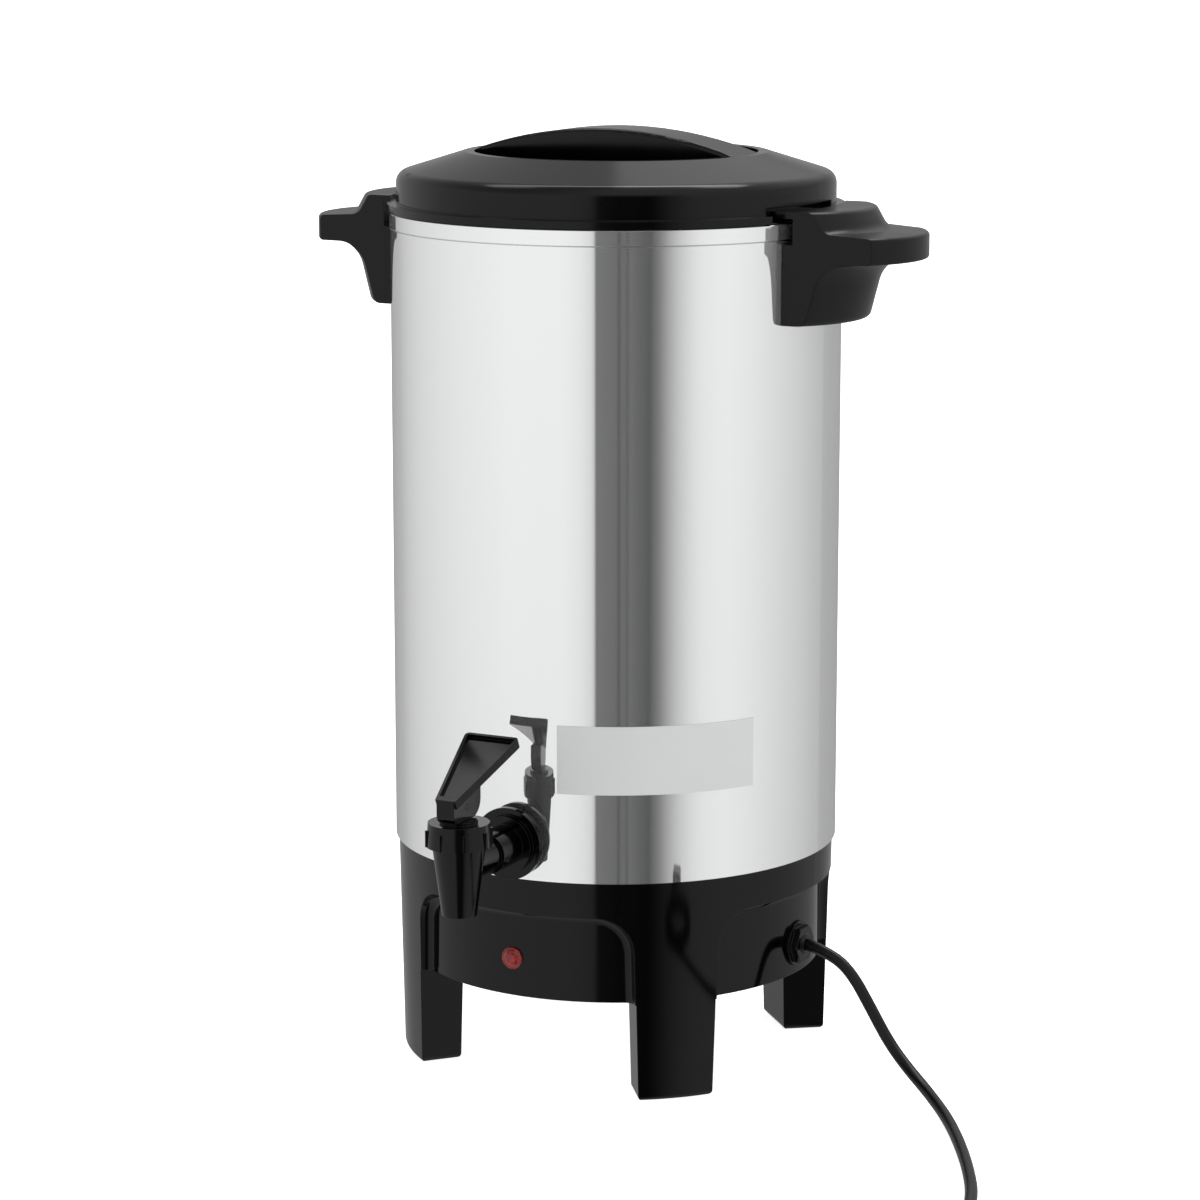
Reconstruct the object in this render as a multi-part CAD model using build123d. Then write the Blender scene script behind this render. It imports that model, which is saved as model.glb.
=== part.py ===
from build123d import *
import os
from math import asin, cos, degrees, radians, sin, sqrt, tan

"""A percolator coffee urn: a steel drum on a four-legged moulded base, with a bayonet lid, two handles
and a sprung tap.

All sizes are in millimetres. Z points up from the table, the drum's axis is the Z axis, and the tap
points along -Y with a handle at each end of the X axis. An azimuth is an angle about Z in degrees,
counted from the tap towards +X. Pieces that sit on the drum's side are drawn with +X pointing outwards
and are then turned to their azimuth.
"""

# --- Clearances ---------------------------------------------------------------------------------------
RUN = 0.05              # radial play of a turned shaft in its bore
PLAY = 0.3              # gap between pieces that move past each other
FLAT_PLAY = 0.2         # gap between flat faces that part or slide
OVER = 1.0              # how far a cutter runs past the face it cuts, or a joined shape into its neighbour

# --- Drum ---------------------------------------------------------------------------------------------
DRUM_R = 110.0          # outside of the steel wall
DRUM_WALL = 0.8
DRUM_SKIRT_Z = 108.7    # lower edge, lapped outside the base
DRUM_FLOOR_Z = 111.5    # underside of the floor, which rests on the base
DRUM_TOP_Z = 417.9
HEM_H = 7.2             # folded rim
HEM_OUT = 0.5           # how far the rim stands proud of the wall
RIM_FOLD_T = 1.6        # ledge folded inwards at the rim, round the lid's seal
WELL_R = 28.0           # heated well in the middle of the floor
WELL_DEPTH = 8.0
FLOOR_FILLET = 2.0

DRUM_IN_R = DRUM_R - DRUM_WALL
FLOOR_TOP_Z = DRUM_FLOOR_Z + DRUM_WALL
HEM_R = DRUM_R + HEM_OUT
HEM_Z = DRUM_TOP_Z - HEM_H
WELL_Z = FLOOR_TOP_Z - WELL_DEPTH

# --- Base ---------------------------------------------------------------------------------------------
BASE_TURN = -2.95       # the base is clocked this far from the tap
BASE_TOP_R = 108.5      # radius at the drum's lower edge
BASE_FOOT_R = 106.5     # radius at the table
BASE_WALL = 3.0
PANEL_R = 102.0         # recessed panels between the legs
SKIRT_Z = 48.0          # lower edge of the panels
ARCH_Z = 91.0           # top of the recess
ARCH_R = 18.0           # corner of the recess
ARCH_COVE_R = 4.5       # hollow rounding where a panel meets the step round it
LEG_COUNT = 4
LEG_FOOT_W = 38.4       # leg width at the table
LEG_TOP_W = 42.0        # leg width where the arch corner starts
LEG_IN_R = 84.5         # inner face of a leg
LEG_WEDGE = 7.7         # degrees that each side of a leg closes in towards the drum's axis
LEG_FOOT_FILLET = 2.5
LEDGE_W = 7.0           # inner ledge that the bottom cover is pulled against
LEDGE_H = 2.5
COVER_T = 0.8
VENT_COUNT = 8
VENT_R = 46.0
VENT_L = 22.0
VENT_W = 4.0
STUD_COUNT = 3
STUD_R = 62.0           # radius of the stud circle
STUD_D = 6.0
STUD_NUT_AF = 10.0
STUD_NUT_H = 5.0
STUD_OFFSET = 30.0      # azimuth of the first stud, past the base's own turn
STUD_END = 1.0          # stud left showing below its nut

COVER_Z = SKIRT_Z + PLAY    # underside of the bottom cover

# --- Lamp and gland in the panels ---------------------------------------------------------------------
LAMP_Z = 66.6
LAMP_D = 11.0
LAMP_STEM_D = 9.0
LAMP_DOME = 2.6
LAMP_FLANGE_T = 1.0
LAMP_WALL = 1.0
LAMP_LENGTH = 16.0
NEON_D = 6.4
NEON_SETBACK = 3.0      # how far the lamp sits behind the stem's two ends
LAMP_NUT_D = 14.0
LAMP_NUT_H = 4.0
GLAND_Z = 62.7
GLAND_PAD_D = 22.6
GLAND_PAD_H = 1.2
GLAND_BARREL_D = 12.6
GLAND_CAP_AF = 17.0
GLAND_CAP_H = 3.4
GLAND_CAP_CHAMFER_D = 18.2
GLAND_NOSE_H = 1.2
GLAND_NOSE_D = 9.0
GLAND_NOSE_ROOT_D = 11.0
GLAND_NUT_AF = 17.0
GLAND_NUT_H = 4.5
GLAND_TAIL = 5.0        # barrel beyond its nut, inside the base

# --- Power cord ---------------------------------------------------------------------------------------
CORD_D = 5.8
CORD_Z = CORD_D / 2     # the cord's centre when it lies on the table
CORD_ROUTE = [
    (122.0, -7.5, 59.8),
    (133.5, -10.4, 52.2),
    (143.5, -12.9, 38.8),
    (155.0, -16.6, 23.4),
    (167.0, -22.5, 13.8),
    (183.0, -34.5, 7.0),
    (202.0, -57.5, 3.6),
    (219.5, -87.0, CORD_Z),
    (236.0, -119.0, CORD_Z),
    (250.0, -151.0, CORD_Z),
    (259.0, -182.0, CORD_Z),
]
COIL_X = 292.0          # centre of the coil of spare cord
COIL_Y = -212.0
COIL_MEAN_R = 32.0
COIL_TURNS_WIDE = 2
COIL_TURNS_HIGH = 2
COIL_FILLET = 2.3
ARC_SHARE = 0.45        # share of a route's shorter run that the arc at its corner takes up
TAIL_ROUTE = [
    (307.0, -248.0, 7.6),
    (321.5, -252.0, 7.4),
    (335.0, -257.0, 9.0),
]
PLUG_W = 27.0
PLUG_H = 22.0
PLUG_L = 26.0
PLUG_CHAMFER = 5.5
PLUG_FILLET = 3.6
PLUG_BOOT_L = 18.0
PLUG_BOOT_D = 10.0
PLUG_BOOT_TIP_D = 7.8
BLADE_W = 6.3
BLADE_T = 1.5
BLADE_L = 16.0
BLADE_GAP = 12.7
EARTH_D = 4.8
EARTH_L = 18.0
EARTH_DROP = 11.9       # from the blades' line to the earth pin
BLADE_SHIFT = 4.0       # from the plug's middle to the blades' line

# --- Heater and controls under the floor --------------------------------------------------------------
ELEMENT_R = 20.0
ELEMENT_D = 6.6
ELEMENT_ARC = 290.0
ELEMENT_TAIL = 14.0
WARM_R_IN = 34.0
WARM_R_OUT = 54.0
WARM_T = 3.0
STAT_D = 17.0
STAT_H = 11.0
STAT_X = 42.0
STAT_FLANGE_D = 23.0
STAT_FLANGE_T = 1.0
STAT_FLANGE_DROP = 3.0
STAT_TAB_W = 6.0
STAT_TAB_H = 8.0
STAT_TAB_T = 0.8
FUSE_D = 5.0
FUSE_L = 24.0
BLOCK_L = 34.0
BLOCK_W = 17.0
BLOCK_H = 14.0
BLOCK_Y = 38.0
TERMINAL_PITCH = 10.6
TERMINAL_HOLE_D = 4.4

# --- Handles ------------------------------------------------------------------------------------------
HANDLE_AZ = 90.0
HANDLE_BOW_R = 52.0     # plan radius of every outer face
HANDLE_W_IN = 73.0      # width at the drum
HANDLE_W_OUT = 64.4     # width at the tip of the grip
HANDLE_FOOT_Z = 370.4
HANDLE_TOP_Z = 423.7
APRON_LOW_R = 129.6     # middle of the apron at its lower edge
APRON_HIGH_R = 135.7    # middle of the apron under the grip
APRON_HIGH_Z = 393.2
GRIP_LOW_Z = 400.0
GRIP_HIGH_Z = 412.4
GRIP_TIP_R = 159.5
GRIP_UNDER_SHARE = 0.35     # where the grip's underside starts, between the apron and the tip
GRIP_ROOT_SHARE = 0.22      # where the grip's upper side starts, between the top edge and the tip
GRIP_RISE = 1.4             # how much higher the grip's root is than its tip
TOP_R = 132.4               # middle of the top edge
HANDLE_CORNERS = {      # size of each rounded corner of the side view, as a share of its shorter side
    1: 0.12,
    2: 0.45,
    3: 0.45,
    4: 0.12,
    5: 0.16,
    6: 0.3,
    7: 0.15,
}
POCKET_R = 115.0        # pocket that clears the rim and the lid's flange
POCKET_LOW_Z = 408.5
POCKET_HIGH_Z = 420.5
LUG_IN_R = 104.6        # tip of the locking lug
LUG_FROM = -21.0        # azimuths of the lug's ends, from the handle's middle
LUG_TO = -5.0
HANDLE_SCREW_V = 20.0   # sideways place of the two screws
HANDLE_SCREW_Z = 387.0
HANDLE_SCREW_D = 5.0
HANDLE_SCREW_L = 11.0
SCREW_HEAD_D = 10.0
SCREW_HEAD_H = 2.6
SCREW_HEAD_FILLET = 1.5

# --- Lid ----------------------------------------------------------------------------------------------
LID_FLANGE_R = 111.4
LID_FLANGE_H = 3.8
LID_STRIP_H = 2.0       # thickness of the flange where it slides under a lug
LID_SKIRT_R = 107.0
LID_SKIRT_H = 13.1      # from the flange's underside to the shoulder
LID_SLOPE = 17.3        # degrees
LID_SHOULDER_R = 6.3
LID_WALL = 3.0
LAND_R = 74.0           # flat land between the slope and the recess
RECESS_R = 69.0
RECESS_DEPTH = 14.5
BAR_W = 30.5
BAR_ARCH_R = 216.0
BAR_RISE = 11.4         # height of the bar's middle above its ends
BAR_FILLET = 2.0
SLOT_FROM = -23.2       # azimuths of the slot's ends, from the handle's middle
SLOT_OPEN_TO = -3.0     # the slot is open downwards as far as this
SLOT_TO = 9.4
SLOT_TOP_Z = 425.4
LOCATOR_R = 101.1       # ring under the lid that carries the seal
LOCATOR_T = 2.5
LOCATOR_DROP = 8.0
LOCATOR_LIP = 2.0
LOCATOR_LIP_H = 1.2
SHOULDER_RISE = 5.2     # from the end of the skirt's straight side to where the slope would meet it

LID_Z = DRUM_TOP_Z + PLAY
LID_SHOULDER_Z = LID_Z + LID_SKIRT_H
RECESS_Z = LID_SHOULDER_Z + (LID_SKIRT_R - LAND_R) * tan(radians(LID_SLOPE)) + SHOULDER_RISE
RECESS_FLOOR_Z = RECESS_Z - RECESS_DEPTH
SLOT_IN_R = LUG_IN_R - PLAY

# --- Percolator ---------------------------------------------------------------------------------------
FOOT_R = 26.0
FOOT_H = 12.0
FOOT_TOP_R = 8.0
FOOT_WALL = 1.0
FOOT_RIM_H = 2.0
FOOT_SLOT_W = 5.0
FOOT_SLOT_H = 1.2
FOOT_SLOT_COUNT = 6
TUBE_D = 10.0
TUBE_WALL = 0.8
TUBE_TOP_Z = 388.0
STOP_Z = 309.0          # bead on the tube that carries the basket
STOP_R = 8.0
STOP_H = 3.0
BASKET_R = 78.0
BASKET_WALL = 0.8
BASKET_H = 62.0
BASKET_SLEEVE_R = 6.5
BASKET_SLEEVE_DROP = 6.0    # how far the centre sleeve ends below the rim
BASKET_RIM_W = 2.5
SPREADER_H = 5.0
SPREADER_HOLE_R = 7.5
SPREADER_PLAY = 1.6     # gap round the spreader's dish, inside the basket
HOLE_D = 3.0
HOLE_RINGS = [(24.0, 6), (42.0, 10), (60.0, 14)]    # radius and number of holes in each ring

# --- Tap ----------------------------------------------------------------------------------------------
TAP_Z = 127.2           # height of the shank
TAP_HOLE_D = 20.0
SHANK_D = 19.4
SHANK_BORE_D = 11.0
SHANK_IN_L = 13.0       # threaded end inside the drum wall
FLANGE_D = 34.8
FLANGE_T = 3.0
STEP_D = 28.0
STEP_T = 3.0
NECK_ROOT_D = 19.8
NECK_ROOT_L = 18.5
NECK_D = 17.0
NECK_RIB_W = 2.4
NECK_RIB_H = 1.4
GASKET_D = 29.0
GASKET_T = 4.0
INNER_GASKET_D = 23.0
INNER_GASKET_T = 2.0
TAP_NUT_AF = 24.0
TAP_NUT_H = 6.0
SPOUT_U = 164.5         # the spout's axis, from the drum's axis
SPOUT_LOW_Z = 104.7
SPOUT_HIGH_Z = 137.6
SPOUT_LOW_D = 16.4
SPOUT_HIGH_D = 25.0
OUTLET_D = 10.0
SEAT_Z = 118.0
CHAMBER_D = 16.0
BONNET_D = 30.4
BONNET_H = 11.2
BONNET_TOP_D = 28.8
BONNET_TOP_T = 2.4
BONNET_WALL = 2.5
BONNET_RIB_COUNT = 8
BONNET_RIB_W = 1.2
BONNET_RIB_H = 7.8
BONNET_RIB_OUT = 0.6
BONNET_TURN = -7.0      # how far the ribs are screwed round from the tap's azimuth
COLLAR_D = 18.0
COLLAR_H = 1.3
NECK_THREAD_H = 6.5
STEM_D = 8.0
STEM_LIFT = 5.7         # rise of the stem when the lever is at its end
STEM_FLANGE_D = 13.0
STEM_FLANGE_T = 2.0
SEAT_CUP_D = 14.0
SEAT_CUP_H = 5.0
SEAT_CUP_FLOOR = 2.0
SEAT_CUP_FILLET = 1.0
SPIGOT_D = 6.0          # end of the stem, in the seat cup
SPRING_WIRE = 1.2
SPRING_D = 11.2
SPRING_TURNS = 4.5
TONGUE_W = 4.2
HUB_L = 26.0
HUB_W = 9.0
HUB_FRONT_H = 11.4
HUB_BACK_H = 13.7
HUB_NOSE_R = 4.0
HUB_HEEL_R = 8.0
CHANNEL_L = 20.0        # slot under the hub, round the tongue
PIN_D = 3.0
PIN_H = 6.0             # pin height above the hub's underside
LEVER_TILT = 35.0       # how far the lever swings up
PADDLE_L = 51.4
PADDLE_LEAN = 24.4      # degrees above level
PADDLE_ROOT_W = 10.4
PADDLE_TIP_W = 28.6
PADDLE_T = 4.4
PADDLE_DISH = 1.8
PADDLE_RIM = 1.4
PADDLE_CORNER_R = 2.0
DISH_FROM = 3.1         # where the dish starts, from the paddle's root

NECK_THREAD_D = BONNET_TOP_D - 2 * BONNET_WALL
BONNET_TOP_Z = SPOUT_HIGH_Z + BONNET_H
COLLAR_Z = BONNET_TOP_Z + COLLAR_H
HUB_Z = COLLAR_Z + FLAT_PLAY
PIN_Z = HUB_Z + PIN_H


STANDING = (Align.CENTER, Align.CENTER, Align.MIN)


# --- Helpers ------------------------------------------------------------------------------------------
def turned(*corners):
    """Solid of revolution about Z from its (radius, height) corners."""
    return revolve(make_face(Polyline([(r, 0, z) for r, z in corners], close=True)), Axis.Z)


def ring(r_in, r_out, z_low, z_high):
    """Plain upright ring."""
    return turned((r_in, z_low), (r_out, z_low), (r_out, z_high), (r_in, z_high))


def disc(radius, z_low, z_high):
    """Plain upright disc about Z."""
    return Pos(0, 0, z_low) * Cylinder(radius, z_high - z_low, align=STANDING)


def upright(x, y, diameter, z_low, z_high):
    """Upright round bar."""
    return Pos(x, y, 0) * disc(diameter / 2, z_low, z_high)


def outward(diameter, u_from, u_to, z):
    """Round bar along +X at height z, from one distance from the axis to another."""
    bar = Cylinder(diameter / 2, u_to - u_from, align=STANDING)
    return Pos(u_from, 0, z) * Rot(0, 90, 0) * bar


def outward_cone(d_from, d_to, u_from, u_to, z):
    """Round taper along +X at height z."""
    cone = Cone(d_from / 2, d_to / 2, u_to - u_from, align=STANDING)
    return Pos(u_from, 0, z) * Rot(0, 90, 0) * cone


def outward_hexagon(across_flats, u_from, u_to, z):
    """Hexagonal bar along +X at height z, with a flat facing down."""
    outline = RegularPolygon(across_flats / 2, 6, major_radius=False)
    return Pos(u_from, 0, z) * Rot(0, 90, 0) * Rot(0, 0, 90) * extrude(outline, u_to - u_from)


def at_azimuth(shape, azimuth):
    """Turn a shape drawn along +X to an azimuth counted from the tap."""
    return Rot(0, 0, azimuth - 90) * shape


def sector(r_in, r_out, a_from, a_to, z_low, z_high):
    """Part of a ring between two angles from +X."""
    corners = [(r_in, z_low), (r_out, z_low), (r_out, z_high), (r_in, z_high)]
    face = make_face(Polyline([(r, 0, z) for r, z in corners], close=True))
    return Rot(0, 0, a_from) * revolve(face, Axis.Z, a_to - a_from)


def save(node, shape):
    """Write one node's STEP file."""
    shape.label = node
    export_step(shape, f"parts/{node}.step")


def save_group(node, solids):
    """Write separate solids that share one node."""
    save(node, Compound(children=solids))


# --- Drum ---------------------------------------------------------------------------------------------
def tank():
    """Drum with a hemmed rim, a floor above its skirt and a heated well."""
    body = turned(
        (0, WELL_Z),
        (WELL_R, WELL_Z),
        (WELL_R, FLOOR_TOP_Z),
        (DRUM_IN_R, FLOOR_TOP_Z),
        (DRUM_IN_R, DRUM_TOP_Z - RIM_FOLD_T),
        (LUG_IN_R, DRUM_TOP_Z - RIM_FOLD_T),
        (LUG_IN_R, DRUM_TOP_Z),
        (HEM_R, DRUM_TOP_Z),
        (HEM_R, HEM_Z),
        (DRUM_R, HEM_Z),
        (DRUM_R, DRUM_SKIRT_Z),
        (DRUM_IN_R, DRUM_SKIRT_Z),
        (DRUM_IN_R, DRUM_FLOOR_Z),
        (WELL_R + DRUM_WALL, DRUM_FLOOR_Z),
        (WELL_R + DRUM_WALL, WELL_Z - DRUM_WALL),
        (0, WELL_Z - DRUM_WALL),
    )
    rounds = body.edges().filter_by(GeomType.CIRCLE)
    corner = rounds.sort_by(lambda e: abs(e.radius - DRUM_IN_R) + abs(e.center().Z - FLOOR_TOP_Z))[0]
    body = fillet(corner, FLOOR_FILLET)
    rim = body.edges().filter_by(GeomType.CIRCLE).group_by(Axis.Z)[-1]
    body = fillet(rim.sort_by(lambda e: e.radius)[-1], HEM_OUT)
    body -= at_azimuth(outward(TAP_HOLE_D, DRUM_R / 2, DRUM_R + OVER, TAP_Z), 0)
    for azimuth in handle_screw_azimuths():
        hole = outward(HANDLE_SCREW_D + 2 * PLAY, DRUM_R / 2, DRUM_R + OVER, HANDLE_SCREW_Z)
        body -= at_azimuth(hole, azimuth)
    return body


def stud_places():
    """Centres of the studs under the floor, kept clear of the tap's azimuth."""
    return [(STUD_R * cos(radians(a)), STUD_R * sin(radians(a)))
            for a in (BASE_TURN + 360 / STUD_COUNT * i + STUD_OFFSET for i in range(STUD_COUNT))]


def tank_studs():
    """Threaded studs from the floor down through the bottom cover."""
    low = COVER_Z - STUD_NUT_H - STUD_END
    return [upright(x, y, STUD_D, low, DRUM_FLOOR_Z) for x, y in stud_places()]


def stud_nuts():
    """Nuts that pull the cover up against the base."""
    outline = RegularPolygon(STUD_NUT_AF / 2, 6, major_radius=False) - Circle(STUD_D / 2)
    return [Pos(x, y, COVER_Z - STUD_NUT_H) * extrude(outline, STUD_NUT_H) for x, y in stud_places()]


# --- Base ---------------------------------------------------------------------------------------------
def leg_azimuths():
    """Azimuths of the legs."""
    return [45 + BASE_TURN + 360 / LEG_COUNT * i for i in range(LEG_COUNT)]


def leg_outline(inset):
    """Front view of a leg's upper end, flaring into the arches on both sides, drawn on the YZ plane."""
    draft = (LEG_TOP_W - LEG_FOOT_W) / 2 / (ARCH_Z - ARCH_R)
    side = LEG_TOP_W / 2
    spring = ARCH_Z - ARCH_R
    low = SKIRT_Z - LEG_TOP_W
    radius = ARCH_R + inset
    reach = side + ARCH_R
    diagonal = radius * sin(radians(45))
    half = Polyline((0, 0, low), (0, side - inset - draft * (spring - low), low), (0, side - inset, spring))
    arc = ThreePointArc(
        (0, side - inset, spring),
        (0, reach - diagonal, spring + diagonal),
        (0, reach, ARCH_Z + inset),
    )
    top = Polyline((0, reach, ARCH_Z + inset), (0, reach, DRUM_SKIRT_Z), (0, 0, DRUM_SKIRT_Z), (0, 0, low))
    right = make_face(Wire([*half.edges(), *arc.edges(), *top.edges()]))
    return right + mirror(right, Plane.XZ)


def leg_post(inset):
    """Lower end of a leg, drawn along +X: a wedge in plan that widens upwards by its draft."""
    draft = degrees(asin((LEG_TOP_W - LEG_FOOT_W) / 2 / (ARCH_Z - ARCH_R)))
    outer = LEG_FOOT_W / 2 - inset
    inner = outer - (BASE_FOOT_R - LEG_IN_R) * tan(radians(LEG_WEDGE))
    plan = make_face(Polyline(
        (LEG_IN_R + inset, -inner, inset),
        (DRUM_R, -outer, inset),
        (DRUM_R, outer, inset),
        (LEG_IN_R + inset, inner, inset),
        close=True,
    ))
    return extrude(plan, SKIRT_Z + BASE_WALL, dir=(0, 0, 1), taper=-draft)


def base_envelope(inset):
    """Tapered outside of the base from the table to the drum's floor, or the same inset by the wall."""
    open_top = DRUM_FLOOR_Z + inset
    return turned(
        (0, inset),
        (BASE_FOOT_R - inset, inset),
        (BASE_TOP_R - inset, DRUM_SKIRT_Z),
        (BASE_TOP_R - inset, open_top),
        (0, open_top),
    )


def base_form(inset):
    """Outside of the base, or its hollow when it is inset by the wall."""
    open_top = DRUM_FLOOR_Z + inset
    envelope = base_envelope(inset)
    form = disc(PANEL_R - inset, SKIRT_Z - BASE_WALL, open_top)
    form += envelope & disc(DRUM_R, ARCH_Z + inset, open_top)
    flare = extrude(leg_outline(inset), DRUM_R - LEG_IN_R - inset, dir=(1, 0, 0))
    above = disc(DRUM_R, SKIRT_Z - BASE_WALL, open_top)
    for azimuth in leg_azimuths():
        form += envelope & above & at_azimuth(Pos(LEG_IN_R + inset, 0, 0) * flare, azimuth)
    if inset == 0:
        form = fillet(cove_edges(form), ARCH_COVE_R)
    form &= disc(DRUM_R, SKIRT_Z, open_top)
    post = leg_post(inset)
    for azimuth in leg_azimuths():
        leg = envelope & at_azimuth(post, azimuth)
        if inset == 0:
            leg = fillet(leg.faces().sort_by(Axis.Z)[0].edges(), LEG_FOOT_FILLET)
        form += leg
    return form


def cove_edges(form):
    """Edges where the recessed panels meet the step round them."""
    found = []
    for edge in form.edges():
        places = [edge.center(), *[Vector(*v) for v in edge.vertices()]]
        on_panel = all(abs(sqrt(place.X ** 2 + place.Y ** 2) - PANEL_R) < RUN for place in places)
        if on_panel and SKIRT_Z - OVER < places[0].Z < ARCH_Z + OVER:
            found.append(edge)
    return found


def base_housing():
    """Moulded base: recessed panels between four hollow legs, open upwards, with a ledge for the cover."""
    body = base_form(0)
    body -= base_form(BASE_WALL)
    ledge_z = COVER_Z + COVER_T
    inner = PANEL_R - BASE_WALL
    body += ring(inner - LEDGE_W, inner + BASE_WALL / 2, ledge_z, ledge_z + LEDGE_H)
    for azimuth in leg_azimuths():
        well = Pos((LEG_IN_R + inner) / 2 + BASE_WALL, 0, ledge_z + LEDGE_H / 2)
        body -= at_azimuth(well * Box(inner - LEG_IN_R, LEG_FOOT_W - 4 * BASE_WALL, 2 * LEDGE_H), azimuth)
    body -= at_azimuth(outward(LAMP_STEM_D + 2 * RUN, inner - OVER, PANEL_R + OVER, LAMP_Z), BASE_TURN)
    barrel_hole = outward(GLAND_BARREL_D + 2 * RUN, inner - OVER, PANEL_R + OVER, GLAND_Z)
    body -= at_azimuth(barrel_hole, 90 + BASE_TURN)
    return body


def bottom_cover():
    """Steel cover inside the skirt, with vents and stud holes."""
    cover = disc(PANEL_R - BASE_WALL - PLAY, COVER_Z, COVER_Z + COVER_T)
    for x, y in stud_places():
        cover -= upright(x, y, STUD_D + 2 * PLAY, COVER_Z - OVER, COVER_Z + COVER_T + OVER)
    vent = extrude(SlotOverall(VENT_L, VENT_W), 3 * COVER_T, both=True)
    for i in range(VENT_COUNT):
        cover -= Rot(0, 0, 360 / VENT_COUNT * (i + 0.5)) * Pos(VENT_R / 2 + VENT_L / 2, 0, COVER_Z) * vent
    return cover


# --- Lamp and gland -----------------------------------------------------------------------------------
def lamp_lens():
    """Domed red lens on a hollow stem through the panel."""
    dome_r = (LAMP_D ** 2 / 4 + LAMP_DOME ** 2) / (2 * LAMP_DOME)
    face_u = PANEL_R + LAMP_FLANGE_T
    end_u = PANEL_R - LAMP_LENGTH
    dome = Pos(face_u + LAMP_DOME - dome_r, 0, LAMP_Z) * Sphere(dome_r)
    dome &= outward(LAMP_D, face_u, face_u + 2 * LAMP_DOME, LAMP_Z)
    flange = outward(LAMP_D, PANEL_R - OVER, face_u, LAMP_Z) - disc(PANEL_R, 0, DRUM_SKIRT_Z)
    stem = outward(LAMP_STEM_D, end_u, face_u, LAMP_Z)
    hollow = outward(LAMP_STEM_D - 2 * LAMP_WALL, end_u - OVER, PANEL_R, LAMP_Z)
    return at_azimuth(dome + flange + stem - hollow, BASE_TURN)


def lamp_nut():
    """Push-on nut behind the panel."""
    back = sqrt((PANEL_R - BASE_WALL) ** 2 - LAMP_NUT_D ** 2 / 4)
    nut = outward(LAMP_NUT_D, back - LAMP_NUT_H, back, LAMP_Z)
    nut -= outward(LAMP_STEM_D, back - LAMP_NUT_H - OVER, back + OVER, LAMP_Z)
    return at_azimuth(nut, BASE_TURN)


def neon_lamp():
    """Neon lamp inside the lens."""
    bulb = outward(NEON_D, PANEL_R - LAMP_LENGTH - NEON_SETBACK, PANEL_R - NEON_SETBACK, LAMP_Z)
    return at_azimuth(bulb, BASE_TURN)


def gland_nose_u():
    """Distance of the gland's outlet from the axis."""
    return PANEL_R + GLAND_PAD_H + GLAND_CAP_H + GLAND_NOSE_H


def cord_gland():
    """Gland body: threaded barrel, pad on the panel, hexagonal cap and nose."""
    pad_u = PANEL_R + GLAND_PAD_H
    cap_u = pad_u + GLAND_CAP_H
    back = PANEL_R - BASE_WALL - GLAND_NUT_H - GLAND_TAIL
    pad = outward(GLAND_PAD_D, PANEL_R - OVER, pad_u, GLAND_Z) - disc(PANEL_R, 0, DRUM_SKIRT_Z)
    gland = pad + outward(GLAND_BARREL_D, back, pad_u, GLAND_Z)
    cap = outward_hexagon(GLAND_CAP_AF, pad_u, cap_u, GLAND_Z)
    cap &= outward_cone(GLAND_CAP_CHAMFER_D + 2 * GLAND_CAP_H, GLAND_CAP_CHAMFER_D, pad_u, cap_u, GLAND_Z)
    gland += cap
    gland += outward_cone(GLAND_NOSE_ROOT_D, GLAND_NOSE_D, cap_u, gland_nose_u(), GLAND_Z)
    gland -= outward(CORD_D, back - OVER, cap_u, GLAND_Z)
    return at_azimuth(gland, 90 + BASE_TURN)


def gland_nut():
    """Lock nut behind the panel."""
    across = GLAND_NUT_AF / 2 / cos(radians(30))
    back = sqrt((PANEL_R - BASE_WALL) ** 2 - across ** 2)
    nut = outward_hexagon(GLAND_NUT_AF, back - GLAND_NUT_H, back, GLAND_Z)
    nut -= outward(GLAND_BARREL_D, back - GLAND_NUT_H - OVER, back + OVER, GLAND_Z)
    return at_azimuth(nut, 90 + BASE_TURN)


# --- Power cord ---------------------------------------------------------------------------------------
def tangent_arc_path(points):
    """Straight runs joined by the largest arcs that the runs leave room for."""
    radii = []
    for before, here, after in zip(points, points[1:], points[2:]):
        run_in = Vector(*here) - Vector(*before)
        run_out = Vector(*after) - Vector(*here)
        half_turn = radians(run_in.get_angle(run_out)) / 2
        radii.append(ARC_SHARE * min(run_in.length, run_out.length) / tan(half_turn))
    print("arc radii", [round(radius, 1) for radius in radii])
    return FilletPolyline(*points, radius=radii)


def cord_tube(name, points):
    """Round tube along a route, with its volume checked against its length."""
    path = tangent_arc_path(points)
    section = Plane(origin=path @ 0, z_dir=path % 0) * Circle(CORD_D / 2)
    tube = sweep(section, path=path)
    expected = path.length * Circle(CORD_D / 2).area
    print(name, "length", round(path.length, 1), "volume ratio", round(tube.volume / expected, 4))
    return tube


def cord_exit():
    """Centre of the gland's outlet."""
    azimuth = radians(90 + BASE_TURN)
    return (gland_nose_u() * sin(azimuth), -gland_nose_u() * cos(azimuth), GLAND_Z)


def coil_entry():
    """Where the cord joins the coil's left side."""
    return (COIL_X - COIL_MEAN_R, COIL_Y, CORD_Z)


def coil_exit():
    """Where the cord's tail leaves the outer turn on top of the coil."""
    top = (COIL_TURNS_HIGH - 0.5) * CORD_D
    return (COIL_X, COIL_Y - COIL_MEAN_R - CORD_D / 2, top)


def power_cord():
    """Cord from the gland to the coil."""
    return cord_tube("power_cord", [cord_exit(), *CORD_ROUTE, coil_entry()])


def cord_tail():
    """Cord from the coil to the plug's boot."""
    return cord_tube("cord_tail", [coil_exit(), *TAIL_ROUTE])


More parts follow.
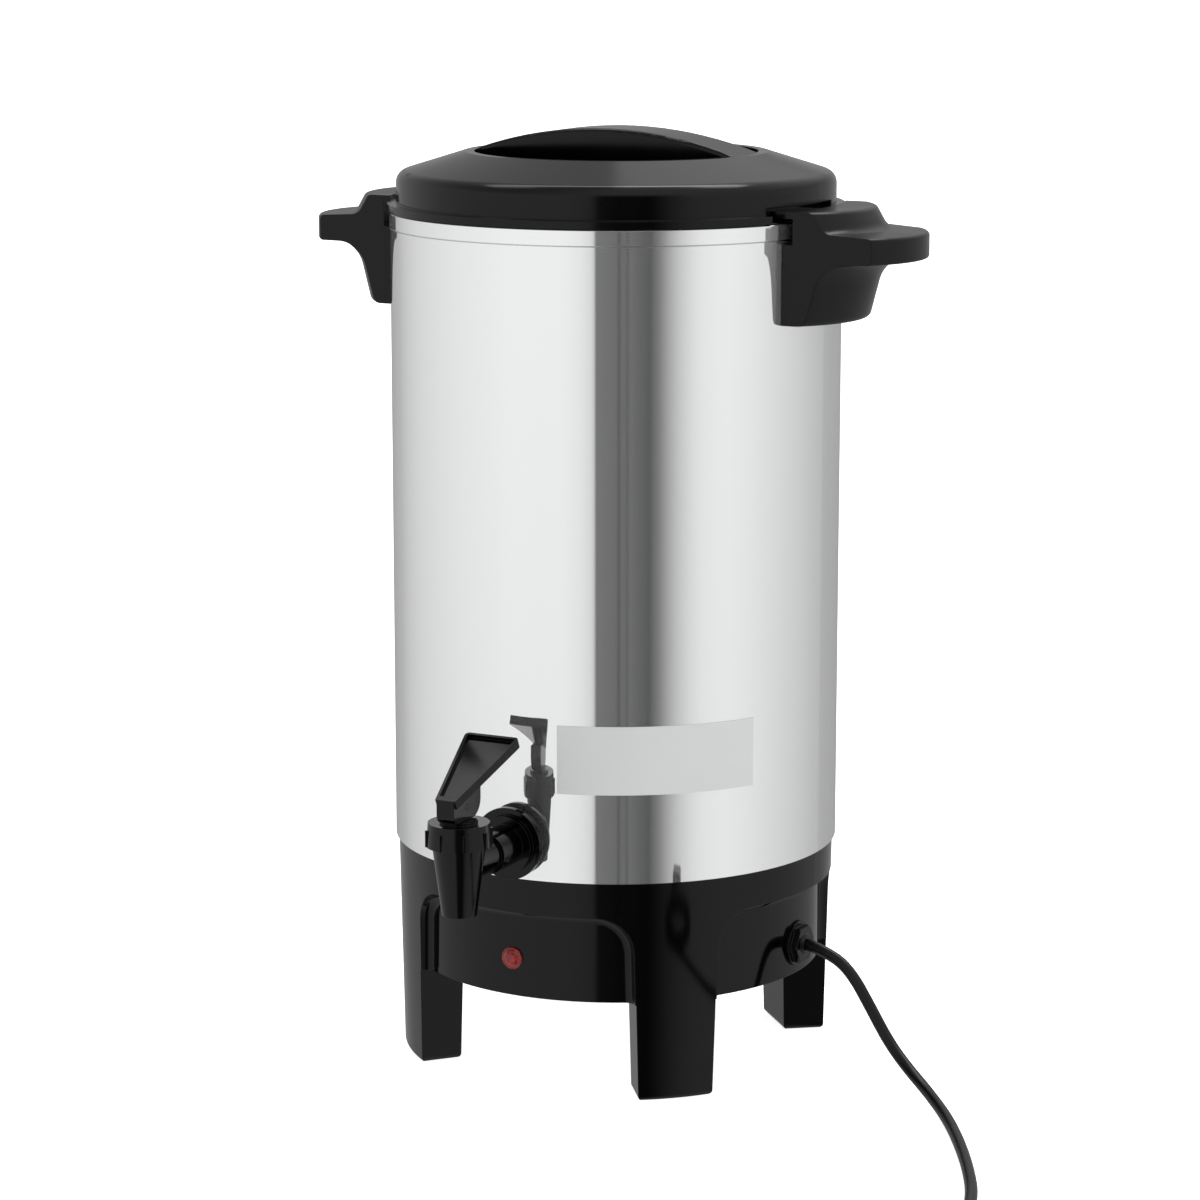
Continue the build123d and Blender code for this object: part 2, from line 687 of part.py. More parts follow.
def cord_coil():
    """Spare cord wound into a neat coil, as one closed ring."""
    width = COIL_TURNS_WIDE * CORD_D
    height = COIL_TURNS_HIGH * CORD_D
    coil = ring(COIL_MEAN_R - width / 2, COIL_MEAN_R + width / 2, 0, height)
    coil = fillet(coil.edges().filter_by(GeomType.CIRCLE), COIL_FILLET)
    return Pos(COIL_X, COIL_Y, 0) * coil


def plug_place():
    """Plug frame: its origin where the tail ends, X along the tail."""
    last = Vector(*TAIL_ROUTE[-1])
    before = Vector(*TAIL_ROUTE[-2])
    heading = Vector(last.X - before.X, last.Y - before.Y, 0)
    return Plane(origin=last, x_dir=heading, z_dir=(0, 0, 1))


def plug_body():
    """Moulded plug lying on the table, with a tapered boot."""
    low = -TAIL_ROUTE[-1][2]
    boot = outward_cone(PLUG_BOOT_TIP_D, PLUG_BOOT_D, 0, PLUG_BOOT_L, 0)
    block = Pos(PLUG_BOOT_L + PLUG_L / 2, 0, low + PLUG_H / 2) * Box(PLUG_L, PLUG_W, PLUG_H)
    block = chamfer(block.edges().group_by(Axis.X)[0], PLUG_CHAMFER)
    block = fillet(block.edges().filter_by(Axis.X), PLUG_FILLET)
    return plug_place().location * (boot + block)


def plug_pins():
    """Two blades and an earth pin."""
    face = PLUG_BOOT_L + PLUG_L
    middle = PLUG_H / 2 - TAIL_ROUTE[-1][2]
    pins = []
    for side in (-1, 1):
        blade = Box(BLADE_L, BLADE_W, BLADE_T)
        pins.append(Pos(face + BLADE_L / 2, BLADE_SHIFT, middle + side * BLADE_GAP / 2) * blade)
    pins.append(Pos(0, BLADE_SHIFT - EARTH_DROP, 0) * outward(EARTH_D, face, face + EARTH_L, middle))
    return [plug_place().location * pin for pin in pins]


# --- Heater and controls ------------------------------------------------------------------------------
def heating_element():
    """Sheathed ring brazed under the well, with two ends turned down."""
    z = WELL_Z - DRUM_WALL - ELEMENT_D / 2
    start = 90 - ELEMENT_ARC / 2 + 180
    arc = CenterArc((0, 0, z), ELEMENT_R, start, ELEMENT_ARC)
    body = sweep(Plane(origin=arc @ 0, z_dir=arc % 0) * Circle(ELEMENT_D / 2), path=arc)
    for end in (arc @ 0, arc @ 1):
        body += Pos(end.X, end.Y, z) * Sphere(ELEMENT_D / 2)
        body += upright(end.X, end.Y, ELEMENT_D, z - ELEMENT_TAIL, z)
    return body


def keep_warm_heater():
    """Flat ring heater pressed against the floor round the well."""
    return ring(WARM_R_IN, WARM_R_OUT, DRUM_FLOOR_Z - WARM_T, DRUM_FLOOR_Z)


def thermostat():
    """Round thermostat under the keep-warm heater, with its cap and two tabs."""
    top = DRUM_FLOOR_Z - WARM_T
    body = upright(-STAT_X, 0, STAT_D, top - STAT_H, top)
    flange_z = top - STAT_FLANGE_DROP
    body += upright(-STAT_X, 0, STAT_FLANGE_D, flange_z - STAT_FLANGE_T, flange_z)
    for side in (-1, 1):
        tab = Box(STAT_TAB_T, STAT_TAB_W, STAT_TAB_H)
        body += Pos(-STAT_X, side * STAT_D / 4, top - STAT_H - STAT_TAB_H / 2) * tab
    return body


def thermal_fuse():
    """Thermal fuse in its sleeve, clamped under the heater."""
    top = DRUM_FLOOR_Z - WARM_T
    return Pos(STAT_X, 0, top - FUSE_D / 2) * Rot(90, 0, 0) * Cylinder(FUSE_D / 2, FUSE_L)


def terminal_block():
    """Terminal block standing on the bottom cover."""
    low = COVER_Z + COVER_T
    block = Pos(0, BLOCK_Y, low + BLOCK_H / 2) * Box(BLOCK_L, BLOCK_W, BLOCK_H)
    for side in (-1, 0, 1):
        x = side * TERMINAL_PITCH
        block -= upright(x, BLOCK_Y, TERMINAL_HOLE_D, low + BLOCK_H / 2, low + BLOCK_H + OVER)
    return block


# --- Handles ------------------------------------------------------------------------------------------
def handle_screw_azimuths():
    """Azimuths of all handle screws."""
    half = degrees(asin(HANDLE_SCREW_V / DRUM_R))
    return [side * HANDLE_AZ + offset for side in (-1, 1) for offset in (-half, half)]


def handle_profile():
    """Side view of the handle's middle, on the XZ plane: apron, grip and top, with rounded corners."""
    inside = DRUM_R / 2
    under_r = APRON_HIGH_R + GRIP_UNDER_SHARE * (GRIP_TIP_R - APRON_HIGH_R)
    root_r = TOP_R + GRIP_ROOT_SHARE * (GRIP_TIP_R - TOP_R)
    corners = [
        (inside, HANDLE_FOOT_Z),
        (APRON_LOW_R, HANDLE_FOOT_Z),
        (APRON_HIGH_R, APRON_HIGH_Z),
        (under_r, GRIP_LOW_Z),
        (GRIP_TIP_R, GRIP_LOW_Z),
        (GRIP_TIP_R, GRIP_HIGH_Z),
        (root_r, GRIP_HIGH_Z + GRIP_RISE),
        (TOP_R, HANDLE_TOP_Z),
        (inside, HANDLE_TOP_Z),
    ]
    face = make_face(Polyline([(x, 0, z) for x, z in corners], close=True))
    for index, share in HANDLE_CORNERS.items():
        here = Vector(*corners[index])
        back = Vector(*corners[index - 1]) - here
        ahead = Vector(*corners[index + 1]) - here
        half_angle = radians(back.get_angle(ahead)) / 2
        radius = share * min(back.length, ahead.length) * tan(half_angle)
        corner = face.vertices().sort_by(lambda v: abs(v.X - here.X) + abs(v.Z - here.Y))[0]
        face = fillet(corner, radius)
    return face


def handle():
    """Handle drawn at +X: a side profile shifted along a bow, cut to the drum, with its locking lug."""
    half = HANDLE_W_IN / 2 + OVER
    sag = HANDLE_BOW_R - sqrt(HANDLE_BOW_R ** 2 - half ** 2)
    bow = ThreePointArc((-sag, -half, 0), (0, 0, 0), (-sag, half, 0))
    body = sweep(Pos(-sag, -half, 0) * handle_profile(), path=bow, normal=(0, 1, 0))
    tip = GRIP_TIP_R + OVER
    plan = make_face(Polyline(
        (DRUM_R / 2, -HANDLE_W_IN / 2, 0),
        (DRUM_R, -HANDLE_W_IN / 2, 0),
        (tip, -HANDLE_W_OUT / 2, 0),
        (tip, HANDLE_W_OUT / 2, 0),
        (DRUM_R, HANDLE_W_IN / 2, 0),
        (DRUM_R / 2, HANDLE_W_IN / 2, 0),
        close=True,
    ))
    body &= extrude(plan, HANDLE_TOP_Z + OVER, dir=(0, 0, 1))
    lug = body & sector(LUG_IN_R, POCKET_R, LUG_FROM, LUG_TO, POCKET_HIGH_Z, HANDLE_TOP_Z + OVER)
    body -= disc(DRUM_R, HANDLE_FOOT_Z - OVER, POCKET_LOW_Z + OVER)
    body -= disc(POCKET_R, POCKET_LOW_Z, POCKET_HIGH_Z)
    body -= disc(LID_FLANGE_R + PLAY, POCKET_HIGH_Z - OVER, HANDLE_TOP_Z + OVER)
    body += lug
    half_turn = degrees(asin(HANDLE_SCREW_V / DRUM_R))
    for angle in (-half_turn, half_turn):
        hole = outward(HANDLE_SCREW_D, DRUM_R / 2, DRUM_R + HANDLE_SCREW_L, HANDLE_SCREW_Z)
        body -= Rot(0, 0, angle) * hole
    return body


def handle_screws():
    """Screws from inside the drum into the handles."""
    screws = []
    for azimuth in handle_screw_azimuths():
        inner = sqrt(DRUM_IN_R ** 2 - SCREW_HEAD_D ** 2 / 4)
        head = outward(SCREW_HEAD_D, inner - SCREW_HEAD_H, inner, HANDLE_SCREW_Z)
        head = fillet(head.edges().filter_by(GeomType.CIRCLE).sort_by(Axis.X)[0], SCREW_HEAD_FILLET)
        shank = outward(HANDLE_SCREW_D, inner, DRUM_R + HANDLE_SCREW_L, HANDLE_SCREW_Z)
        screws.append(at_azimuth(head + shank, azimuth))
    return screws


# --- Lid ----------------------------------------------------------------------------------------------
def lid_section(inset):
    """Half section of the lid's outside, or of its hollow when inset by the wall."""
    slope = tan(radians(LID_SLOPE))
    skirt = LID_SKIRT_R - inset
    recess = RECESS_R + inset
    crown = RECESS_Z - inset
    shoulder = crown - (skirt - LAND_R) * slope
    low = LID_Z - inset
    floor = RECESS_FLOOR_Z - inset
    face = make_face(Polyline(
        (0, 0, low),
        (skirt, 0, low),
        (skirt, 0, shoulder),
        (LAND_R, 0, crown),
        (recess, 0, crown),
        (recess, 0, floor),
        (0, 0, floor),
        close=True,
    ))
    corner = face.vertices().sort_by(lambda v: abs(v.X - skirt) + abs(v.Z - shoulder))[0]
    return fillet(corner, LID_SHOULDER_R - inset)


def grip_bar(inset):
    """Arched bar across the recess, or its hollow when inset by the wall."""
    peak = RECESS_Z + BAR_RISE - inset
    half = LAND_R - inset
    radius = BAR_ARCH_R - inset
    end_z = peak - radius + sqrt(radius ** 2 - half ** 2)
    low = RECESS_FLOOR_Z - OVER - inset
    arch = ThreePointArc((-half, 0, end_z), (0, 0, peak), (half, 0, end_z))
    sides = Polyline((half, 0, end_z), (half, 0, low), (-half, 0, low), (-half, 0, end_z))
    face = make_face(Wire([*arch.edges(), *sides.edges()]))
    bar = extrude(face, BAR_W / 2 - inset, both=True)
    if inset == 0:
        crest = bar.edges().filter_by(GeomType.CIRCLE).group_by(Axis.Z)[-1]
        bar = fillet(crest, BAR_FILLET)
    return bar


def lid_shell():
    """Moulded lid: flange, skirt with two bayonet slots, sloping top, and a recess crossed by the grip."""
    body = revolve(lid_section(0), Axis.Z)
    body += ring(LID_SKIRT_R - LID_WALL, LID_FLANGE_R, LID_Z, LID_Z + LID_FLANGE_H)
    body += grip_bar(0)
    hollow = revolve(lid_section(LID_WALL), Axis.Z) + grip_bar(LID_WALL)
    inner = LOCATOR_R - LOCATOR_T
    plate_z = LID_Z + LID_WALL
    reach = disc(inner, 0, plate_z) + disc(SLOT_IN_R - LID_WALL, plate_z, RECESS_Z + BAR_RISE)
    body -= hollow & reach
    drop = LID_Z - LOCATOR_DROP
    body += turned(
        (inner, drop),
        (LOCATOR_R + LOCATOR_LIP, drop),
        (LOCATOR_R + LOCATOR_LIP, drop + LOCATOR_LIP_H),
        (LOCATOR_R, drop + LOCATOR_LIP_H),
        (LOCATOR_R, plate_z),
        (inner, plate_z),
    )
    outside = LID_FLANGE_R + OVER
    strip_top = LID_Z + LID_STRIP_H
    for side in (0, 180):
        open_to = side + SLOT_OPEN_TO
        body -= sector(SLOT_IN_R, outside, side + SLOT_FROM, open_to, LID_Z - OVER, SLOT_TOP_Z)
        body -= sector(SLOT_IN_R, outside, open_to - OVER, side + SLOT_TO, strip_top, SLOT_TOP_Z)
    return body


def lid_seal():
    """Silicone ring round the lid's locating ring, inside the drum's folded rim."""
    low = LID_Z - LOCATOR_DROP + LOCATOR_LIP_H + FLAT_PLAY
    return ring(LOCATOR_R + PLAY, LUG_IN_R - PLAY, low, LID_Z - FLAT_PLAY)


# --- Percolator ---------------------------------------------------------------------------------------
def percolator_foot():
    """Pump foot: a shallow bell that stands in the well, with slots round its edge."""
    bell = turned(
        (0, WELL_Z),
        (FOOT_R, WELL_Z),
        (FOOT_R, WELL_Z + FOOT_RIM_H),
        (FOOT_TOP_R, WELL_Z + FOOT_H),
        (0, WELL_Z + FOOT_H),
    )
    bell -= turned(
        (0, WELL_Z - OVER),
        (FOOT_R - FOOT_WALL, WELL_Z - OVER),
        (FOOT_R - FOOT_WALL, WELL_Z + FOOT_RIM_H - FOOT_WALL / 2),
        (FOOT_TOP_R - FOOT_WALL, WELL_Z + FOOT_H - FOOT_WALL),
        (0, WELL_Z + FOOT_H - FOOT_WALL),
    )
    bell -= disc(TUBE_D / 2, WELL_Z, WELL_Z + FOOT_H + OVER)
    for i in range(FOOT_SLOT_COUNT):
        slot = Pos(FOOT_R, 0, WELL_Z) * Box(FOOT_R, FOOT_SLOT_W, 2 * FOOT_SLOT_H)
        bell -= Rot(0, 0, 360 / FOOT_SLOT_COUNT * i) * slot
    return bell


def percolator_tube():
    """Rising tube with the bead that carries the basket."""
    low = WELL_Z + FOOT_H - FOOT_WALL
    tube = disc(TUBE_D / 2, low, TUBE_TOP_Z)
    tube += turned((0, STOP_Z - STOP_H), (TUBE_D / 2, STOP_Z - STOP_H), (STOP_R, STOP_Z), (0, STOP_Z))
    return tube - disc(TUBE_D / 2 - TUBE_WALL, low - OVER, TUBE_TOP_Z + OVER)


def sieve(plate, z):
    """Plate with its rings of holes."""
    for radius, count in HOLE_RINGS:
        for i in range(count):
            angle = radians(360 / count * i)
            x = radius * cos(angle)
            y = radius * sin(angle)
            plate -= upright(x, y, HOLE_D, z - OVER, z + BASKET_WALL + OVER)
    return plate


def coffee_basket():
    """Coffee basket with a sieve floor, a centre sleeve and a turned-out rim."""
    low = STOP_Z + FLAT_PLAY
    top = low + BASKET_H
    floor_top = low + BASKET_WALL
    sleeve = BASKET_SLEEVE_R
    sleeve_top = top - BASKET_SLEEVE_DROP
    basket = turned(
        (TUBE_D / 2 + PLAY, low),
        (BASKET_R, low),
        (BASKET_R, top - BASKET_WALL),
        (BASKET_R + BASKET_RIM_W, top - BASKET_WALL),
        (BASKET_R + BASKET_RIM_W, top),
        (BASKET_R - BASKET_WALL, top),
        (BASKET_R - BASKET_WALL, floor_top),
        (sleeve, floor_top),
        (sleeve, sleeve_top),
        (TUBE_D / 2 + PLAY, sleeve_top),
    )
    return sieve(basket, low)


def basket_lid():
    """Spreader on the basket's rim, dished, with its rings of holes."""
    low = STOP_Z + FLAT_PLAY + BASKET_H + FLAT_PLAY
    floor = low - SPREADER_H + BASKET_WALL
    dish_r = BASKET_R - BASKET_WALL - SPREADER_PLAY
    dish = turned(
        (SPREADER_HOLE_R, floor),
        (dish_r, floor),
        (dish_r, low),
        (BASKET_R + BASKET_RIM_W, low),
        (BASKET_R + BASKET_RIM_W, low + BASKET_WALL),
        (dish_r - BASKET_WALL, low + BASKET_WALL),
        (dish_r - BASKET_WALL, floor + BASKET_WALL),
        (SPREADER_HOLE_R, floor + BASKET_WALL),
    )
    return sieve(dish, floor)


# --- Tap ----------------------------------------------------------------------------------------------
def flange_u():
    """Back of the tap's flange, just clear of the drum's curve."""
    return DRUM_R + GASKET_T


def outer_gasket():
    """Gasket between the drum and the tap's flange, hollowed to the drum."""
    gasket = outward(GASKET_D, DRUM_R / 2, flange_u(), TAP_Z) - disc(DRUM_R, 0, DRUM_TOP_Z)
    return at_azimuth(gasket - outward(TAP_HOLE_D, DRUM_R / 2, flange_u() + OVER, TAP_Z), 0)


def inner_face_u():
    """Flat face of the inner gasket."""
    return sqrt(DRUM_IN_R ** 2 - INNER_GASKET_D ** 2 / 4) - INNER_GASKET_T


def inner_gasket():
    """Gasket inside the drum, domed to the wall."""
    gasket = outward(INNER_GASKET_D, inner_face_u(), DRUM_R, TAP_Z) & disc(DRUM_IN_R, 0, DRUM_TOP_Z)
    return at_azimuth(gasket - outward(SHANK_D, DRUM_R / 2, DRUM_R + OVER, TAP_Z), 0)


def tap_nut():
    """Nut that clamps the tap from inside the drum."""
    nut = outward_hexagon(TAP_NUT_AF, inner_face_u() - TAP_NUT_H, inner_face_u(), TAP_Z)
    return at_azimuth(nut - outward(SHANK_D, DRUM_R / 2, DRUM_R, TAP_Z), 0)


def tap_body():
    """Tap body: threaded shank, stepped flange, ribbed neck, tapered spout and valve chamber."""
    back = DRUM_R - SHANK_IN_L
    step_u = flange_u() + FLANGE_T
    neck_u = step_u + STEP_T
    body = outward(SHANK_D, back, flange_u(), TAP_Z)
    body += outward(FLANGE_D, flange_u(), step_u, TAP_Z)
    body += outward(STEP_D, step_u, neck_u, TAP_Z)
    body += outward(NECK_ROOT_D, neck_u, neck_u + NECK_ROOT_L, TAP_Z)
    body += outward(NECK_D, neck_u, SPOUT_U, TAP_Z)
    rib_h = NECK_D / 2 + NECK_RIB_H
    rib_l = SPOUT_U - neck_u
    body += Pos(neck_u + rib_l / 2, 0, TAP_Z + rib_h / 2) * Box(rib_l, NECK_RIB_W, rib_h)
    spout = Cone(SPOUT_LOW_D / 2, SPOUT_HIGH_D / 2, SPOUT_HIGH_Z - SPOUT_LOW_Z, align=STANDING)
    body += Pos(SPOUT_U, 0, SPOUT_LOW_Z) * spout
    body += upright(SPOUT_U, 0, NECK_THREAD_D, SPOUT_HIGH_Z, SPOUT_HIGH_Z + NECK_THREAD_H)
    body -= outward(SHANK_BORE_D, back - OVER, SPOUT_U, TAP_Z)
    body -= upright(SPOUT_U, 0, CHAMBER_D, SEAT_Z, SPOUT_HIGH_Z + NECK_THREAD_H + OVER)
    body -= upright(SPOUT_U, 0, OUTLET_D, SPOUT_LOW_Z - OVER, SEAT_Z + OVER)
    return at_azimuth(body, 0)


def tap_bonnet():
    """Screwed cap with grip ribs and a collar that the lever rocks on."""
    cap = Cone(BONNET_D / 2, BONNET_TOP_D / 2, BONNET_H, align=STANDING)
    bonnet = Pos(SPOUT_U, 0, SPOUT_HIGH_Z) * cap
    for i in range(BONNET_RIB_COUNT):
        rib = Pos(BONNET_D / 2, 0, BONNET_RIB_H / 2) * Box(2 * BONNET_RIB_OUT, BONNET_RIB_W, BONNET_RIB_H)
        turn = BONNET_TURN + 360 / BONNET_RIB_COUNT * i
        bonnet += Pos(SPOUT_U, 0, SPOUT_HIGH_Z) * Rot(0, 0, turn) * rib
    bonnet += upright(SPOUT_U, 0, COLLAR_D, BONNET_TOP_Z, COLLAR_Z)
    bonnet -= upright(SPOUT_U, 0, NECK_THREAD_D, SPOUT_HIGH_Z - OVER, BONNET_TOP_Z - BONNET_TOP_T)
    return at_azimuth(bonnet - upright(SPOUT_U, 0, STEM_D + 2 * RUN, SPOUT_HIGH_Z, COLLAR_Z + OVER), 0)


def cup_top_z():
    """Top of the seat cup, where the stem's flange sits."""
    return SEAT_Z + SEAT_CUP_H


def tap_stem():
    """Stem: a spigot in the seat cup, a spring flange, a round shaft and a tongue with the pin's eye."""
    stem = upright(SPOUT_U, 0, SPIGOT_D, SEAT_Z + SEAT_CUP_FLOOR, cup_top_z())
    stem += upright(SPOUT_U, 0, STEM_FLANGE_D, cup_top_z(), cup_top_z() + STEM_FLANGE_T)
    flats_z = COLLAR_Z - STEM_LIFT - PLAY
    stem += upright(SPOUT_U, 0, STEM_D, cup_top_z(), flats_z)
    tongue = upright(SPOUT_U, 0, STEM_D, flats_z, PIN_Z)
    tongue += Pos(SPOUT_U, 0, PIN_Z) * Rot(90, 0, 0) * Cylinder(STEM_D / 2, STEM_D)
    stem += tongue & Pos(SPOUT_U, 0, PIN_Z) * Box(STEM_D, TONGUE_W, 2 * PIN_Z)
    eye = Pos(SPOUT_U, 0, PIN_Z) * Rot(90, 0, 0) * Cylinder(PIN_D / 2, 2 * HUB_W)
    return at_azimuth(stem - eye, 0)


def seat_cup():
    """Silicone cup that closes the outlet."""
    cup = upright(SPOUT_U, 0, SEAT_CUP_D, SEAT_Z, cup_top_z())
    cup = fillet(cup.edges().filter_by(GeomType.CIRCLE).sort_by(Axis.Z)[0], SEAT_CUP_FILLET)
    return at_azimuth(cup - upright(SPOUT_U, 0, SPIGOT_D, SEAT_Z + SEAT_CUP_FLOOR, cup_top_z() + OVER), 0)


def tap_spring():
    """Coil spring between the stem's flange and the bonnet."""
    low = cup_top_z() + STEM_FLANGE_T + SPRING_WIRE / 2
    high = BONNET_TOP_Z - BONNET_TOP_T - SPRING_WIRE / 2
    helix = Helix((high - low) / SPRING_TURNS, high - low, SPRING_D / 2, center=(SPOUT_U, 0, low))
    wire = Plane(origin=helix @ 0, z_dir=helix % 0) * Circle(SPRING_WIRE / 2)
    return at_azimuth(sweep(wire, path=helix, is_frenet=True), 0)


def lever_pin():
    """Pin through the lever's hub and the stem's tongue."""
    pin = Pos(SPOUT_U, 0, PIN_Z) * Rot(90, 0, 0) * Cylinder(PIN_D / 2, HUB_W)
    return at_azimuth(pin, 0)


def paddle():
    """Dished paddle that widens towards its tip, drawn level from its root at the origin towards -X."""
    root = PADDLE_ROOT_W / 2
    tip = PADDLE_TIP_W / 2
    outline = make_face(Polyline((0, -root), (-PADDLE_L, -tip), (-PADDLE_L, tip), (0, root), close=True))
    blade = extrude(outline, PADDLE_T, dir=(0, 0, -1))
    tips = blade.edges().filter_by(Axis.Z).group_by(Axis.X)[0]
    blade = fillet(tips, PADDLE_CORNER_R)
    shrink = (tip - root) / PADDLE_L
    near = -DISH_FROM
    far = -PADDLE_L + PADDLE_RIM
    rim_near = root - shrink * near - PADDLE_RIM
    rim_far = root - shrink * far - PADDLE_RIM
    corners = [(near, -rim_near), (far, -rim_far), (far, rim_far), (near, rim_near)]
    dish = make_face(Polyline(corners, close=True))
    return blade - extrude(dish, PADDLE_DISH, dir=(0, 0, -1))


def lever():
    """Lever: a forked hub on the pin, with the dished paddle rising over the neck."""
    front = SPOUT_U + HUB_L / 2
    rear = SPOUT_U - HUB_L / 2
    side = make_face(Polyline(
        (rear, 0, HUB_Z),
        (front, 0, HUB_Z),
        (front, 0, HUB_Z + HUB_FRONT_H),
        (rear, 0, HUB_Z + HUB_BACK_H),
        close=True,
    ))
    nose = side.vertices().sort_by(lambda v: abs(v.X - front) + abs(v.Z - HUB_Z))[0]
    side = fillet(nose, HUB_NOSE_R)
    heel = side.vertices().sort_by(lambda v: abs(v.X - rear) + abs(v.Z - HUB_Z))[0]
    side = fillet(heel, HUB_HEEL_R)
    body = extrude(side, HUB_W / 2, both=True)
    body += Pos(front, 0, HUB_Z + HUB_FRONT_H) * Rot(0, PADDLE_LEAN, 0) * paddle()
    slot_w = TONGUE_W + 2 * PLAY
    swing_r = STEM_D / 2 / cos(radians(LEVER_TILT)) + PLAY
    swing = Pos(SPOUT_U, 0, PIN_Z) * Rot(90, 0, 0) * Cylinder(swing_r, slot_w)
    channel = Pos(SPOUT_U, 0, HUB_Z) * Box(CHANNEL_L, slot_w, 2 * PIN_H)
    body -= swing + channel
    eye = Pos(SPOUT_U, 0, PIN_Z) * Rot(90, 0, 0) * Cylinder(PIN_D / 2 + RUN, 2 * HUB_W)
    return at_azimuth(body - eye, 0)


# --- All nodes ----------------------------------------------------------------------------------------
def build():
    """Write every node."""
    os.makedirs("parts", exist_ok=True)
    save("tank", tank())
    save_group("tank_studs", tank_studs())
    save_group("stud_nuts", stud_nuts())
    save("base_housing", base_housing())
    save("bottom_cover", bottom_cover())
    save("lamp_lens", lamp_lens())
    save("lamp_nut", lamp_nut())
    save("neon_lamp", neon_lamp())
    save("cord_gland", cord_gland())
    save("gland_nut", gland_nut())
    save("power_cord", power_cord())
    save("cord_coil", cord_coil())
    save("cord_tail", cord_tail())
    save("plug_body", plug_body())
    save_group("plug_pins", plug_pins())
    save("heating_element", heating_element())
    save("keep_warm_heater", keep_warm_heater())
    save("thermostat", thermostat())
    save("thermal_fuse", thermal_fuse())
    save("terminal_block", terminal_block())
    save("handle_right", handle())
    save("handle_left", Rot(0, 0, 180) * handle())
    save_group("handle_screws", handle_screws())
    save("lid_shell", lid_shell())
    save("lid_seal", lid_seal())
    save("percolator_foot", percolator_foot())
    save("percolator_tube", percolator_tube())
    save("coffee_basket", coffee_basket())
    save("basket_lid", basket_lid())
    save("outer_gasket", outer_gasket())
    save("inner_gasket", inner_gasket())
    save("tap_nut", tap_nut())
    save("tap_body", tap_body())
    save("tap_bonnet", tap_bonnet())
    save("tap_stem", tap_stem())
    save("seat_cup", seat_cup())
    save("tap_spring", tap_spring())
    save("lever_pin", lever_pin())
    save("lever", lever())


build()
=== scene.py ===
"""Dresses the percolator coffee urn: finishes, added pieces, power cord, studio and camera."""

import logging
import math
from dataclasses import dataclass
from enum import Enum
from functools import cache
from typing import Any, Callable, ClassVar, Iterable

import bpy
from mathutils import Matrix, Vector

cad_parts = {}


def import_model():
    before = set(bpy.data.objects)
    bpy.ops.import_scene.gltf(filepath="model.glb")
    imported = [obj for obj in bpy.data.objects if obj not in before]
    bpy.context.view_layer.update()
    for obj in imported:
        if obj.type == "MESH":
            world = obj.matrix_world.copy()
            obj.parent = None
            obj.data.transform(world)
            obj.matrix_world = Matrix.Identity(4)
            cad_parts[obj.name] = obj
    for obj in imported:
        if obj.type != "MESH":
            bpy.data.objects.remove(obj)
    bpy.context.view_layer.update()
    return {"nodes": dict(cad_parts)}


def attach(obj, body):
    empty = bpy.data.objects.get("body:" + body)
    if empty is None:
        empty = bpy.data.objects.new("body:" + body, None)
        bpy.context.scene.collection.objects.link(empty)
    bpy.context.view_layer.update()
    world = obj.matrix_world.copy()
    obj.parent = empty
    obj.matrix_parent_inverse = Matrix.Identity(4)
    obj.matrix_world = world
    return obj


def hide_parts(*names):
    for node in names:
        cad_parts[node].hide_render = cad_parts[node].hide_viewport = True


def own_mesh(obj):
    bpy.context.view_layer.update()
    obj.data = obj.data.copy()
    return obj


LOG = logging.getLogger("urn")
MM = 0.001
QUARTER_TURN = math.radians(90)
FACING = 0.9  # cosine above which a face counts as facing a direction
NEAR = 0.01 * MM  # distance within which a face counts as lying on a plane

Point = tuple[float, float, float]
Pairs = tuple[tuple[float, float], ...]
Nodes = dict[str, bpy.types.Object]
Socket = bpy.types.NodeSocket


